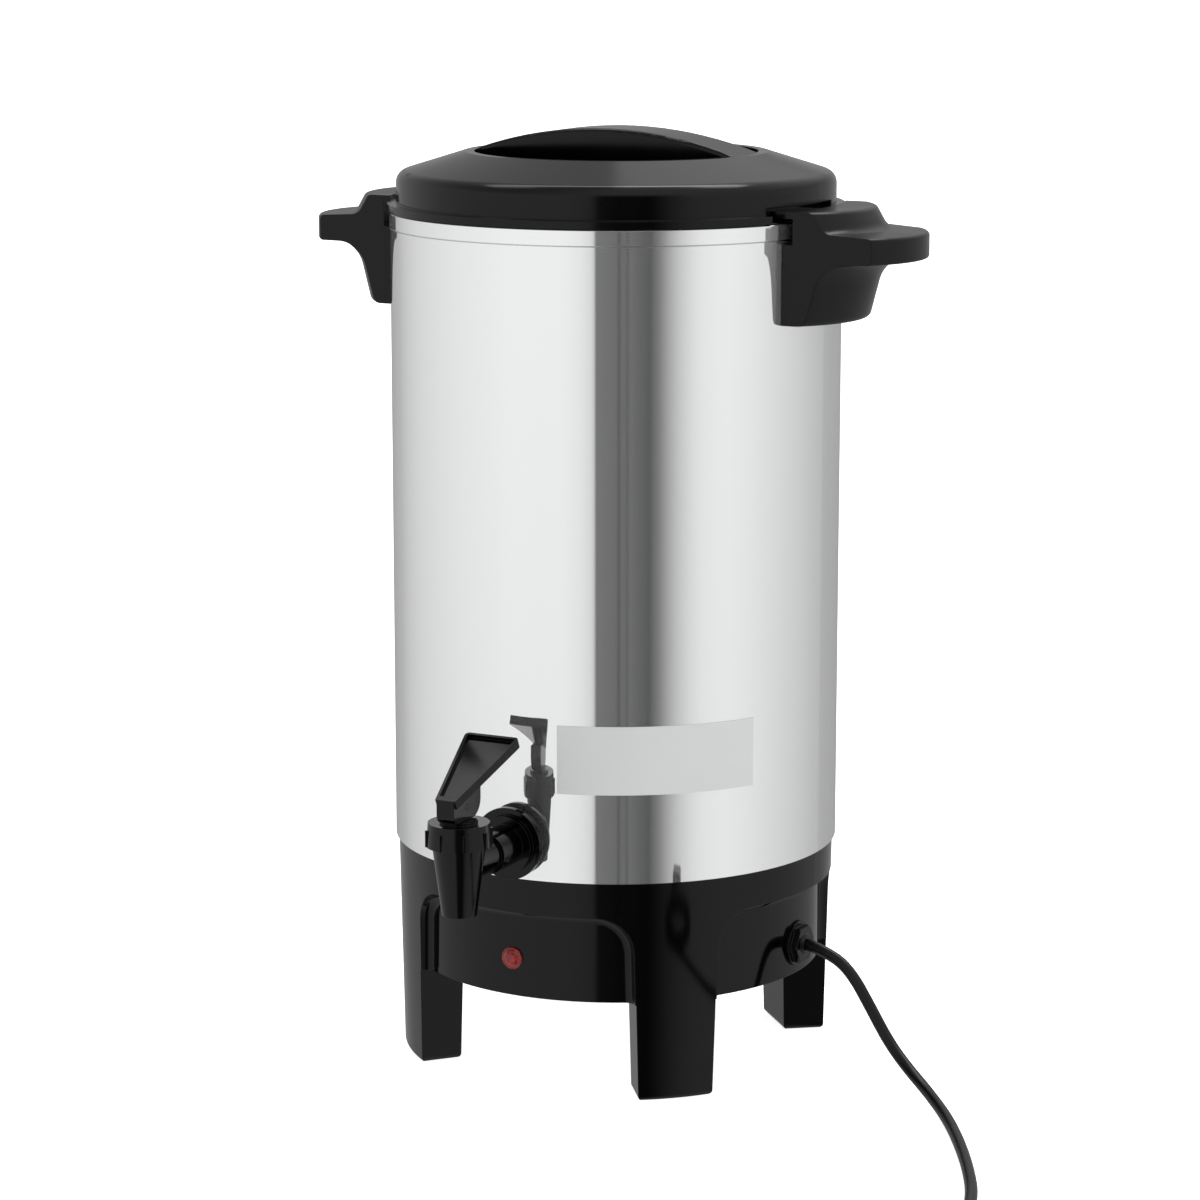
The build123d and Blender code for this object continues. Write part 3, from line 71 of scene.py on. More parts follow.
# --- Node tools ---------------------------------------------------------------------------------------
class Wiring:
    """Adds nodes to one node tree and joins them."""

    def __init__(self, tree: bpy.types.NodeTree) -> None:
        """Work on a node tree."""
        self.tree = tree

    def put(self, target: Socket, value: Any) -> None:
        """Give an input its value, or link an output to it.

        Args:
            target: the input.
            value: a plain value, or another node's output.
        """
        if isinstance(value, Socket):
            self.tree.links.new(value, target)
        else:
            target.default_value = value

    def add(self, kind: str, inputs: dict[str | int, Any] | None = None, **settings: Any) -> bpy.types.Node:
        """Add a node.

        Args:
            kind: the node's type name.
            inputs: its inputs by name or number, each with a value or another node's output.
            settings: attributes to set on the node.

        Returns:
            The new node.
        """
        made = self.tree.nodes.new(kind)
        for key, value in settings.items():
            setattr(made, key, value)
        for key, value in (inputs or {}).items():
            self.put(made.inputs[key], value)
        return made

    def place(self, kind: str = "Object") -> Socket:
        """Coordinates of a shaded point; those of the object stay with it when it moves."""
        return self.add("ShaderNodeTexCoord").outputs[kind]

    def reckon(self, operation: str, *values: Any) -> Socket:
        """Work out a number from numbers or outputs."""
        return self.add("ShaderNodeMath", dict(enumerate(values)), operation=operation).outputs[0]

    def remap(self, value: Socket, given: tuple[Any, Any] = (0.0, 1.0),
              wanted: tuple[Any, Any] = (0.0, 1.0)) -> Socket:
        """Stretch one range of values over another, and hold what lies beyond to its ends.

        Args:
            value: the value to map.
            given: the range that it comes in.
            wanted: the range that it goes to, as numbers or outputs.

        Returns:
            The mapped value.
        """
        ends = dict(zip(("From Min", "From Max", "To Min", "To Max"), (*given, *wanted)))
        return self.add("ShaderNodeMapRange", {"Value": value, **ends}).outputs["Result"]

    def ramp(self, value: Socket, stops: Iterable[tuple[float, Point]]) -> Socket:
        """Turn a value into a colour.

        Args:
            value: the value, 0 to 1.
            stops: (value, colour) in rising order.

        Returns:
            The colour.
        """
        made = self.add("ShaderNodeValToRGB", {"Fac": value})
        elements = made.color_ramp.elements
        elements.remove(elements[0])
        for index, (spot, colour) in enumerate(stops):
            stop = elements.new(spot) if index else elements[0]
            stop.position = spot
            stop.color = (*colour, 1.0)
        return made.outputs["Color"]


class Effect(Wiring):
    """A node group with number inputs and one output, while it is being made."""

    def __init__(self, name: str, output: str, kind: str, **inputs: float) -> None:
        """Start a node group.

        Args:
            name: the group's name.
            output: the output's name.
            kind: the output's socket type.
            inputs: input names with their usual values.
        """
        super().__init__(bpy.data.node_groups.new(name, "ShaderNodeTree"))
        for key, value in inputs.items():
            socket = self.tree.interface.new_socket(key, in_out="INPUT", socket_type="NodeSocketFloat")
            socket.default_value = value
        self.tree.interface.new_socket(output, in_out="OUTPUT", socket_type=kind)
        self.given = self.add("NodeGroupInput").outputs

    def end(self, result: Socket) -> bpy.types.NodeTree:
        """Put the result out and return the group."""
        self.add("NodeGroupOutput", {0: result})
        return self.tree


class SharedEffects:
    """Node groups that several finishes use, each made once."""

    bevel_samples: ClassVar[int] = 6
    cloud_detail: ClassVar[float] = 3.0
    cloud_range: ClassVar[tuple[float, float]] = (0.3, 0.7)
    grain_detail: ClassVar[float] = 2.0

    @classmethod
    @cache
    def soft_edges(cls) -> bpy.types.NodeTree:
        """Small rounding on every sharp edge, with fine bumps laid over it.

        Returns:
            The node group.
        """
        effect = Effect("soft_edges", "Normal", "NodeSocketVector", Radius=0.5 * MM, Height=0.0, Depth=0.0)
        given = effect.given
        bevel = effect.add("ShaderNodeBevel", {"Radius": given["Radius"]}, samples=cls.bevel_samples)
        heights = {"Strength": 1.0, "Height": given["Height"], "Distance": given["Depth"]}
        bump = effect.add("ShaderNodeBump", {**heights, "Normal": bevel.outputs["Normal"]})
        return effect.end(bump.outputs["Normal"])

    @classmethod
    @cache
    def mottle(cls) -> bpy.types.NodeTree:
        """Soft clouds between two values, for gloss that isn't quite even.

        Returns:
            The node group.
        """
        effect = Effect("mottle", "Value", "NodeSocketFloat", Scale=40.0, Low=0.1, High=0.2)
        given = effect.given
        clouds = {"Vector": effect.place(), "Scale": given["Scale"], "Detail": cls.cloud_detail}
        noise = effect.add("ShaderNodeTexNoise", clouds).outputs["Fac"]
        return effect.end(effect.remap(noise, cls.cloud_range, (given["Low"], given["High"])))

    @classmethod
    @cache
    def grain(cls) -> bpy.types.NodeTree:
        """Fine even grain as a height.

        Returns:
            The node group.
        """
        effect = Effect("grain", "Height", "NodeSocketFloat", Scale=2500.0)
        specks = {"Vector": effect.place(), "Scale": effect.given["Scale"], "Detail": cls.grain_detail}
        return effect.end(effect.add("ShaderNodeTexNoise", specks).outputs["Fac"])


class Shader(Wiring):
    """A node material while it is being made."""

    def __init__(self, name: str) -> None:
        """Start a material with one Principled BSDF.

        Args:
            name: the material's name.
        """
        self.material = bpy.data.materials.new(name)
        self.material.use_nodes = True
        super().__init__(self.material.node_tree)
        self.surface = next(n for n in self.tree.nodes if n.type == "BSDF_PRINCIPLED")

    def set(self, **inputs: Any) -> None:
        """Set inputs of the Principled BSDF; underscores in a name stand for spaces."""
        for key, value in inputs.items():
            self.put(self.surface.inputs[key.replace("_", " ")], value)

    def effect(self, tree: bpy.types.NodeTree, **inputs: Any) -> Socket:
        """Lay a shared effect with its own inputs and return what it gives."""
        return self.add("ShaderNodeGroup", inputs, node_tree=tree).outputs[0]

    def gloss(self, scale: float, low: float, high: float) -> None:
        """Roughness in soft clouds between two values."""
        self.set(Roughness=self.effect(SharedEffects.mottle(), Scale=scale, Low=low, High=high))

    def grain(self, scale: float, depth: float, edge: float) -> None:
        """Fine grain over softly rounded edges."""
        height = self.effect(SharedEffects.grain(), Scale=scale)
        self.set(Normal=self.effect(SharedEffects.soft_edges(), Radius=edge, Height=height, Depth=depth))


# --- Finishes -----------------------------------------------------------------------------------------
@dataclass(frozen=True)
class MouldedPlastic:
    """Moulded plastic with a little grain and softly rounded edges."""

    name: str
    shade: float = 0.0005
    tint: float = 1.1
    low_gloss: float = 0.10
    high_gloss: float = 0.16
    cloud_scale: float = 28.0
    ior: float = 1.34
    edge: float = 0.6 * MM
    grain_depth: float = 0.004 * MM
    grain_scale: float = 2200.0

    def make(self) -> bpy.types.Material:
        """Build the material.

        Returns:
            The material.
        """
        shader = Shader(self.name)
        shader.set(Base_Color=(self.shade, self.shade, self.shade * self.tint, 1.0), IOR=self.ior)
        shader.gloss(self.cloud_scale, self.low_gloss, self.high_gloss)
        shader.grain(self.grain_scale, self.grain_depth, self.edge)
        return shader.material


@dataclass(frozen=True)
class PolishedSteel:
    """Drum steel: a near mirror with a slight haze in upright streaks from polishing."""

    name: str
    colour: Point = (0.925, 0.93, 0.935)
    mirror: float = 0.95
    low_gloss: float = 0.015
    high_gloss: float = 0.045
    streak_scale: float = 900.0
    streak_detail: float = 3.0
    upright_scale: float = 0.02

    def make(self) -> bpy.types.Material:
        """Build the material.

        Returns:
            The material.
        """
        shader = Shader(self.name)
        stretch = {"Vector": shader.place(), "Scale": (1.0, 1.0, self.upright_scale)}
        along = shader.add("ShaderNodeMapping", stretch).outputs["Vector"]
        streaks = {"Vector": along, "Scale": self.streak_scale, "Detail": self.streak_detail}
        haze = shader.add("ShaderNodeTexNoise", streaks).outputs["Fac"]
        gloss = shader.remap(haze, wanted=(self.low_gloss, self.high_gloss))
        shader.set(Base_Color=(*self.colour, 1.0), Metallic=self.mirror, Roughness=gloss)
        return shader.material


@dataclass(frozen=True)
class SpunMetal:
    """Plain metal with turning or rolling marks: basket, tube, plates and fasteners."""

    name: str
    colour: Point
    low_gloss: float
    high_gloss: float
    mark_scale: float = 40.0
    grain_scale: float = 2500.0
    grain_depth: float = 0.001 * MM
    edge: float = 0.2 * MM

    def make(self) -> bpy.types.Material:
        """Build the material.

        Returns:
            The material.
        """
        shader = Shader(self.name)
        shader.set(Base_Color=(*self.colour, 1.0), Metallic=1.0)
        shader.gloss(self.mark_scale, self.low_gloss, self.high_gloss)
        shader.grain(self.grain_scale, self.grain_depth, self.edge)
        return shader.material


@dataclass(frozen=True)
class ClearPlastic:
    """Clear tinted plastic with moulded facets, each deep in its middle and paler along its edges."""

    name: str
    colour: Point
    clearness: float
    ior: float = 1.49
    roughness: float = 0.05
    deep: float = 0.35
    facet_scale: float = 520.0
    facet_depth: float = 0.25 * MM
    facet_strength: float = 0.7

    def make(self) -> bpy.types.Material:
        """Build the material.

        Returns:
            The material.
        """
        shader = Shader(self.name)
        cells = {"Vector": shader.place(), "Scale": self.facet_scale}
        out = shader.add("ShaderNodeTexVoronoi", cells, feature="F1").outputs["Distance"]
        facets = {"Strength": self.facet_strength, "Distance": self.facet_depth, "Height": out}
        bump = shader.add("ShaderNodeBump", facets).outputs["Normal"]
        deep = tuple(c * self.deep for c in self.colour)
        tint = shader.ramp(out, ((0.0, deep), (1.0, self.colour)))
        shader.set(IOR=self.ior, Roughness=self.roughness, Transmission_Weight=self.clearness,
                   Base_Color=tint, Normal=bump)
        return shader.material


@dataclass(frozen=True)
class LabelFilm:
    """Matt film, blank, with a faint uneven sheen."""

    name: str
    colour: Point = (0.51, 0.52, 0.52)
    ior: float = 1.45
    low_shade: float = 0.97
    shade_scale: float = 25.0
    low_gloss: float = 0.32
    high_gloss: float = 0.46
    gloss_scale: float = 60.0
    grain_scale: float = 3000.0
    grain_depth: float = 0.003 * MM
    edge: float = 0.04 * MM

    def make(self) -> bpy.types.Material:
        """Build the material.

        Returns:
            The material.
        """
        shader = Shader(self.name)
        shade = shader.effect(SharedEffects.mottle(), Scale=self.shade_scale, Low=self.low_shade, High=1.0)
        colours = {"Factor": 1.0, "A": (*self.colour, 1.0), "B": shade}
        tint = shader.add("ShaderNodeMix", colours, data_type="RGBA", blend_type="MULTIPLY")
        shader.set(IOR=self.ior, Base_Color=tint.outputs["Result"])
        shader.gloss(self.gloss_scale, self.low_gloss, self.high_gloss)
        shader.grain(self.grain_scale, self.grain_depth, self.edge)
        return shader.material


@dataclass(frozen=True)
class SoftRubber:
    """Silicone, rubber and cord sheath: dull, with fine grain."""

    name: str
    colour: Point
    low_gloss: float = 0.45
    high_gloss: float = 0.6
    cloud_scale: float = 60.0
    ior: float = 1.45
    edge: float = 0.3 * MM
    grain_depth: float = 0.01 * MM
    grain_scale: float = 1800.0

    def make(self) -> bpy.types.Material:
        """Build the material.

        Returns:
            The material.
        """
        shader = Shader(self.name)
        shader.set(Base_Color=(*self.colour, 1.0), IOR=self.ior)
        shader.gloss(self.cloud_scale, self.low_gloss, self.high_gloss)
        shader.grain(self.grain_scale, self.grain_depth, self.edge)
        return shader.material


class Finish(Enum):
    """Every finish on the urn."""

    DRUM_STEEL = PolishedSteel("drum_steel")
    # darker steel for the thin band under the rim: painted shadow of the folded hem's edge
    CREASE = SpunMetal("rim_hem_shadow_band", (0.55, 0.56, 0.57), low_gloss=0.25, high_gloss=0.35)
    PLATE = SpunMetal("zinc_plate", (0.60, 0.61, 0.63), low_gloss=0.28, high_gloss=0.42, mark_scale=60.0)
    ALUMINIUM = SpunMetal("spun_aluminium", (0.76, 0.77, 0.79), low_gloss=0.22, high_gloss=0.30,
                          mark_scale=30.0)
    SHEATH = SpunMetal("heater_sheath", (0.20, 0.19, 0.18), low_gloss=0.35, high_gloss=0.5, mark_scale=50.0)
    BLADES = SpunMetal("plated_blades", (0.78, 0.76, 0.70), low_gloss=0.14, high_gloss=0.22, mark_scale=80.0)
    BASE_BLACK = MouldedPlastic("base_black", low_gloss=0.07, high_gloss=0.11)
    LID_BLACK = MouldedPlastic("lid_black", low_gloss=0.11, high_gloss=0.15, edge=0.5 * MM)
    HANDLE_BLACK = MouldedPlastic("handle_black", low_gloss=0.20, high_gloss=0.27)
    TAP_BLACK = MouldedPlastic("tap_black", low_gloss=0.08, high_gloss=0.12, edge=0.4 * MM)
    NYLON = MouldedPlastic("white_nylon", shade=0.62, tint=0.95, low_gloss=0.35, high_gloss=0.45, ior=1.5)
    LENS = ClearPlastic("red_lens", (0.50, 0.036, 0.031), clearness=0.55)
    LAMP = ClearPlastic("neon_lamp", (0.85, 0.45, 0.28), clearness=0.8)
    FILM = LabelFilm("label_film")
    SILICONE = SoftRubber("silicone", (0.55, 0.53, 0.49))
    CORD = SoftRubber("cord_sheath", (0.002, 0.002, 0.0022), low_gloss=0.24, high_gloss=0.32, ior=1.33,
                      grain_depth=0.004 * MM)
    GASKET = SoftRubber("black_rubber", (0.004, 0.004, 0.0044), low_gloss=0.40, high_gloss=0.55)


class Paint:
    """Makes each finish once and puts it on pieces."""

    @staticmethod
    @cache
    def material(finish: Finish) -> bpy.types.Material:
        """Return the finish's one material."""
        return finish.value.make()

    @classmethod
    def on(cls, piece: bpy.types.Object, finish: Finish) -> None:
        """Put a finish on all of a piece.

        Args:
            piece: a mesh or curve object.
            finish: what to put on it.
        """
        made = cls.material(finish)
        if not piece.material_slots:
            piece.data.materials.append(made)
        for slot in piece.material_slots:
            slot.material = made


# --- Workbench ----------------------------------------------------------------------------------------
class Bench:
    """Modelling moves on one piece at a time."""

    weld: ClassVar[float] = 0.001 * MM
    smooth_under: ClassVar[float] = math.radians(30)

    @staticmethod
    def clear() -> None:
        """Deselect everything."""
        bpy.ops.object.select_all(action="DESELECT")

    @classmethod
    def take(cls, *pieces: bpy.types.Object) -> None:
        """Select some pieces alone, the first of them active.

        Args:
            pieces: what to select.
        """
        cls.clear()
        for piece in pieces:
            piece.select_set(True)
        bpy.context.view_layer.objects.active = pieces[0]

    @staticmethod
    def adopt(name: str) -> bpy.types.Object:
        """Name the primitive that was just added, and put its place into its mesh.

        Args:
            name: the piece's name.

        Returns:
            The piece, with its object at the origin.
        """
        piece = bpy.context.object
        piece.name = name
        piece.data.name = name
        bpy.ops.object.transform_apply(location=True, rotation=True, scale=True)
        return piece

    @classmethod
    def block(cls, name: str, middle: Point, size: Point) -> bpy.types.Object:
        """Add a block.

        Args:
            name: the piece's name.
            middle: its centre.
            size: its length along each axis.

        Returns:
            The block.
        """
        cls.clear()
        bpy.ops.mesh.primitive_cube_add(size=1.0, location=middle, scale=size)
        return cls.adopt(name)

    @classmethod
    def band(cls, name: str, sides: int, radius: float, width: float, height: float,
             turn: float = 0.0) -> bpy.types.Object:
        """Add an open band round the Z axis.

        Args:
            name: the piece's name.
            sides: faces round the band.
            radius: the band's radius.
            width: its measure along Z.
            height: the height of its middle.
            turn: angle of its first edge, in radians.

        Returns:
            The band, one face thick.
        """
        cls.clear()
        bpy.ops.mesh.primitive_cylinder_add(vertices=sides, radius=radius, depth=width,
                                            end_fill_type="NOTHING", location=(0, 0, height),
                                            rotation=(0, 0, turn))
        return cls.adopt(name)

    @staticmethod
    def pick(piece: bpy.types.Object, test: Callable[[Vector, Vector], bool]) -> None:
        """Select the faces that pass a test and enter edit mode.

        Args:
            piece: the mesh to work on.
            test: called with each face's centre and normal.
        """
        bpy.context.view_layer.objects.active = piece
        bpy.ops.object.mode_set(mode="EDIT")
        bpy.context.tool_settings.mesh_select_mode = (False, False, True)
        bpy.ops.mesh.select_all(action="DESELECT")
        bpy.ops.object.mode_set(mode="OBJECT")
        for face in piece.data.polygons:
            face.select = test(face.center, face.normal)
        bpy.ops.object.mode_set(mode="EDIT")

    @classmethod
    def leave(cls, piece: bpy.types.Object) -> None:
        """Clean the mesh and return to object mode.

        Args:
            piece: the mesh that was worked on.
        """
        bpy.ops.mesh.select_all(action="SELECT")
        bpy.ops.mesh.remove_doubles(threshold=cls.weld)
        bpy.ops.mesh.normals_make_consistent(inside=False)
        bpy.ops.object.mode_set(mode="OBJECT")
        LOG.info("modelled %s: %d faces", piece.name, len(piece.data.polygons))

    @staticmethod
    def modify(piece: bpy.types.Object, kind: str, **settings: Any) -> None:
        """Add a modifier and apply it.

        Args:
            piece: the piece to change.
            kind: the modifier's type.
            settings: attributes to set on it.
        """
        bpy.context.view_layer.objects.active = piece
        modifier = piece.modifiers.new(kind.lower(), kind)
        for key, value in settings.items():
            setattr(modifier, key, value)
        bpy.ops.object.modifier_apply(modifier=modifier.name)

    @classmethod
    def smooth(cls, piece: bpy.types.Object) -> None:
        """Shade a piece smooth, apart from its sharp edges."""
        cls.take(piece)
        bpy.ops.object.shade_smooth_by_angle(angle=cls.smooth_under)

    @classmethod
    def set_down(cls, piece: bpy.types.Object, place: Matrix) -> None:
        """Move a piece's mesh to its place, leaving the object at the origin.

        Args:
            piece: the piece to move.
            place: where it goes.
        """
        cls.take(piece)
        piece.matrix_world = place
        bpy.ops.object.transform_apply(location=True, rotation=True, scale=True)
        cls.clear()

    @classmethod
    def join(cls, pieces: list[bpy.types.Object]) -> bpy.types.Object:
        """Join pieces into the first one.

        Args:
            pieces: what to join.

        Returns:
            The joined piece.
        """
        cls.take(*pieces)
        bpy.ops.object.join()
        cls.clear()
        return pieces[0]

    @classmethod
    def turned(cls, name: str, profile: list[tuple[float, float]], sides: int) -> bpy.types.Object:
        """Model a round piece along Z, ring by ring.

        Args:
            name: the piece's name.
            profile: (radius, height) of each ring, from one end face to the other.
            sides: faces round the piece.

        Returns:
            The piece, closed at both ends.
        """
        cls.clear()
        radius, height = profile[0]
        bpy.ops.mesh.primitive_circle_add(vertices=sides, radius=radius, fill_type="NGON",
                                          location=(0, 0, height))
        piece = cls.adopt(name)
        cls.pick(piece, lambda centre, normal: True)
        for next_radius, next_height in profile[1:]:
            rise = {"value": (0, 0, next_height - height)}
            bpy.ops.mesh.extrude_region_move(TRANSFORM_OT_translate=rise)
            share = next_radius / radius
            bpy.ops.transform.resize(value=(share, share, 1), center_override=(0, 0, next_height))
            radius, height = next_radius, next_height
        cls.leave(piece)
        return piece


def from_tap(azimuth: float, reach: float, height: float) -> Matrix:
    """Place on the drum's side whose Z axis points outwards.

    Args:
        azimuth: degrees from the tap towards the right handle.
        reach: distance from the drum's axis.
        height: height above the table.

    Returns:
        The place as a matrix.
    """
    turn = Matrix.Rotation(math.radians(azimuth - 90), 4, "Z")
    return turn @ Matrix.Translation((reach, 0, height)) @ Matrix.Rotation(QUARTER_TURN, 4, "Y")


class SubAssembly:
    """A group of the frame's nodes with their finishes."""

    finishes: ClassVar[dict[str, Finish]] = {}

    def build(self, nodes: Nodes) -> None:
        """Dress the nodes and report each.

        Args:
            nodes: the frame's nodes by name.
        """
        for name, finish in self.finishes.items():
            Paint.on(nodes[name], finish)
            LOG.info("%s: %s in %s", type(self).__name__, name, finish.value.name)


# --- Power cord ---------------------------------------------------------------------------------------
@dataclass
class PowerCord(SubAssembly):
    """The mains cord: one smooth line from the gland, over the table, into its coil and on to the plug.

    route and tail are in millimetres.
    """

    finishes: ClassVar[dict[str, Finish]] = {
        "power_cord": Finish.CORD,
        "cord_coil": Finish.CORD,
        "cord_tail": Finish.CORD,
    }
    diameter: float = 5.8 * MM
    exit: Point = (107.657 * MM, -5.548 * MM, 62.7 * MM)
    route: tuple[Point, ...] = (
        (122.0, -7.5, 59.8),
        (133.5, -10.4, 52.2),
        (143.5, -12.9, 38.8),
        (155.0, -16.6, 23.4),
        (167.0, -22.5, 13.8),
        (183.0, -34.5, 7.0),
        (202.0, -57.5, 3.6),
        (219.5, -87.0, 2.9),
        (236.0, -119.0, 2.9),
        (250.0, -151.0, 2.9),
        (257.5, -182.0, 2.9),
    )
    coil_centre: tuple[float, float] = (292.0 * MM, -212.0 * MM)
    coil_radius: float = 32.0 * MM
    extra_turn: float = 0.25
    layer_change: float = 0.25
    points_per_turn: int = 16
    tail: tuple[Point, ...] = (
        (307.0, -248.0, 7.6),
        (321.5, -252.0, 7.4),
        (335.0, -257.0, 9.0),
    )
    bevel_steps: int = 6
    line_order: int = 3
    line_steps: int = 8

    def coil(self) -> list[Point]:
        """Lay the turns of the coil: outer below, inner below, inner above, outer above.

        Returns:
            Points along the coil's line.
        """
        half = self.diameter / 2
        layers = [(half, half), (-half, half), (-half, 3 * half), (half, 3 * half)]
        last = len(layers) - 1
        points = []
        for step in range(int((len(layers) + self.extra_turn) * self.points_per_turn) + 1):
            turn = step / self.points_per_turn
            now = min(int(turn), last)
            after = min(now + 1, last)
            into_change = (turn - now - 1 + self.layer_change) / self.layer_change
            blend = max(0.0, into_change) if now < last else 0.0
            side, height = (a * (1 - blend) + b * blend for a, b in zip(layers[now], layers[after]))
            angle = math.pi + 2 * math.pi * turn
            radius = self.coil_radius + side
            points.append((self.coil_centre[0] + radius * math.cos(angle),
                           self.coil_centre[1] + radius * math.sin(angle), height))
        return points

    def line(self) -> list[Point]:
        """Join the route, the coil and the tail.

        Returns:
            Points along the whole cord, from the gland to the plug.
        """
        route, tail = ([tuple(c * MM for c in point) for point in part] for part in (self.route, self.tail))
        return [self.exit, *route, *self.coil(), *tail]

    def build(self, nodes: Nodes) -> None:
        """Args:
            nodes: the frame's nodes by name.
        """
        super().build(nodes)
        line = self.line()
        curve = bpy.data.curves.new("mains_cord", "CURVE")
        curve.dimensions = "3D"
        curve.bevel_depth = self.diameter / 2
        curve.bevel_resolution = self.bevel_steps
        curve.use_fill_caps = True
        spline = curve.splines.new("NURBS")
        spline.points.add(len(line) - 1)
        for point, place in zip(spline.points, line):
            point.co = (*place, 1.0)
        spline.order_u = self.line_order
        spline.use_endpoint_u = True
        spline.resolution_u = self.line_steps
        cord = bpy.data.objects.new("mains_cord", curve)
        bpy.context.scene.collection.objects.link(cord)
        Paint.on(cord, Finish.CORD)
        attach(cord, "urn")
        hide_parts("power_cord", "cord_coil", "cord_tail")
        LOG.info("drew %s through %d points", cord.name, len(line))


@dataclass
class Plug(SubAssembly):
    """Moulded plug at the cord's end: ribbed boot, body with finger ridges, two blades and an earth pin.

    ring_steps gives each ring of the boot: a share of the ring's length, and of the groove's depth. shoulder,
    ridge_from and ridge_spacing are shares of the body's length.
    """

    finishes: ClassVar[dict[str, Finish]] = {"plug_body": Finish.CORD, "plug_pins": Finish.BLADES}
    place: Point = (335.0 * MM, -257.0 * MM, 9.0 * MM)
    heading: float = -20.323
    boot_length: float = 18.0 * MM
    boot_radii: tuple[float, float] = (3.9 * MM, 5.0 * MM)
    boot_rings: int = 7
    boot_sides: int = 32
    ring_steps: Pairs = ((0.0, 0.0), (0.55, 0.0), (0.65, 1.0), (0.9, 1.0))
    groove: float = 0.7 * MM
    overlap: float = 1.0 * MM
    length: float = 26.0 * MM
    width: float = 27.0 * MM
    height: float = 22.0 * MM
    shoulder: float = 0.2
    neck: Point = (1.0, 0.6, 0.55)
    rounding: float = 3.0 * MM
    rounding_steps: int = 4
    ridge: Point = (1.4 * MM, 0.9 * MM, 12.0 * MM)
    ridge_count: int = 4
    ridge_from: float = 0.42
    ridge_spacing: float = 0.13
    ridge_rounding: float = 0.4 * MM
    ridge_rounding_steps: int = 2

    def boot(self) -> bpy.types.Object:
        """Model the tapered boot, with grooves that let it flex.

        Returns:
            The boot, lying along X.
        """
        start, end = self.boot_radii
        profile = []
        for ring in range(self.boot_rings):
            for step, depth in self.ring_steps:
                share = (ring + step) / self.boot_rings
                radius = start + (end - start) * share - depth * self.groove
                profile.append((radius, share * self.boot_length))
        profile.append((end, self.boot_length + self.overlap))
        boot = Bench.turned("plug_boot", profile, self.boot_sides)
        Bench.set_down(boot, Matrix.Rotation(QUARTER_TURN, 4, "Y"))
        return boot

    def body(self) -> bpy.types.Object:
        """Model the body, drawn in at the boot's side, with its edges rounded.

        Returns:
            The body.
        """
        middle = (self.boot_length + self.length / 2, 0, self.height / 2 - self.place[2])
        body = Bench.block("plug_block", middle, (self.length, self.width, self.height))
        shoulder = self.boot_length + self.length * self.shoulder
        Bench.pick(body, lambda centre, normal: True)
        bpy.ops.mesh.bisect(plane_co=(shoulder, 0, 0), plane_no=(1, 0, 0))
        Bench.leave(body)
        Bench.pick(body, lambda centre, normal: normal.x < -FACING)
        bpy.ops.transform.resize(value=self.neck, center_override=(self.boot_length, 0, 0))
        Bench.leave(body)
        Bench.modify(body, "BEVEL", width=self.rounding, segments=self.rounding_steps, limit_method="ANGLE")
        return body

    def ridges(self) -> list[bpy.types.Object]:
        """Model the upright finger ridges on both sides.

        Returns:
            The ridges.
        """
        made = []
        for index in range(self.ridge_count):
            along = self.boot_length + self.length * (self.ridge_from + self.ridge_spacing * index)
            for side in (-1, 1):
                middle = (along, side * self.width / 2, self.height / 2 - self.place[2])
                ridge = Bench.block(f"plug_ridge_{index}_{side}", middle, self.ridge)
                Bench.modify(ridge, "BEVEL", width=self.ridge_rounding, segments=self.ridge_rounding_steps)
                made.append(ridge)
        return made

    def build(self, nodes: Nodes) -> None:
        """Dress the nodes and model the moulding.

        Args:
            nodes: the frame's nodes by name.
        """
        super().build(nodes)
        moulding = Bench.join([self.body(), self.boot(), *self.ridges()])
        moulding.name = "plug_moulding"
        turn = Matrix.Rotation(math.radians(self.heading), 4, "Z")
        Bench.set_down(moulding, Matrix.Translation(self.place) @ turn)
        Paint.on(moulding, Finish.CORD)
        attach(moulding, "urn")
        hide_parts("plug_body")


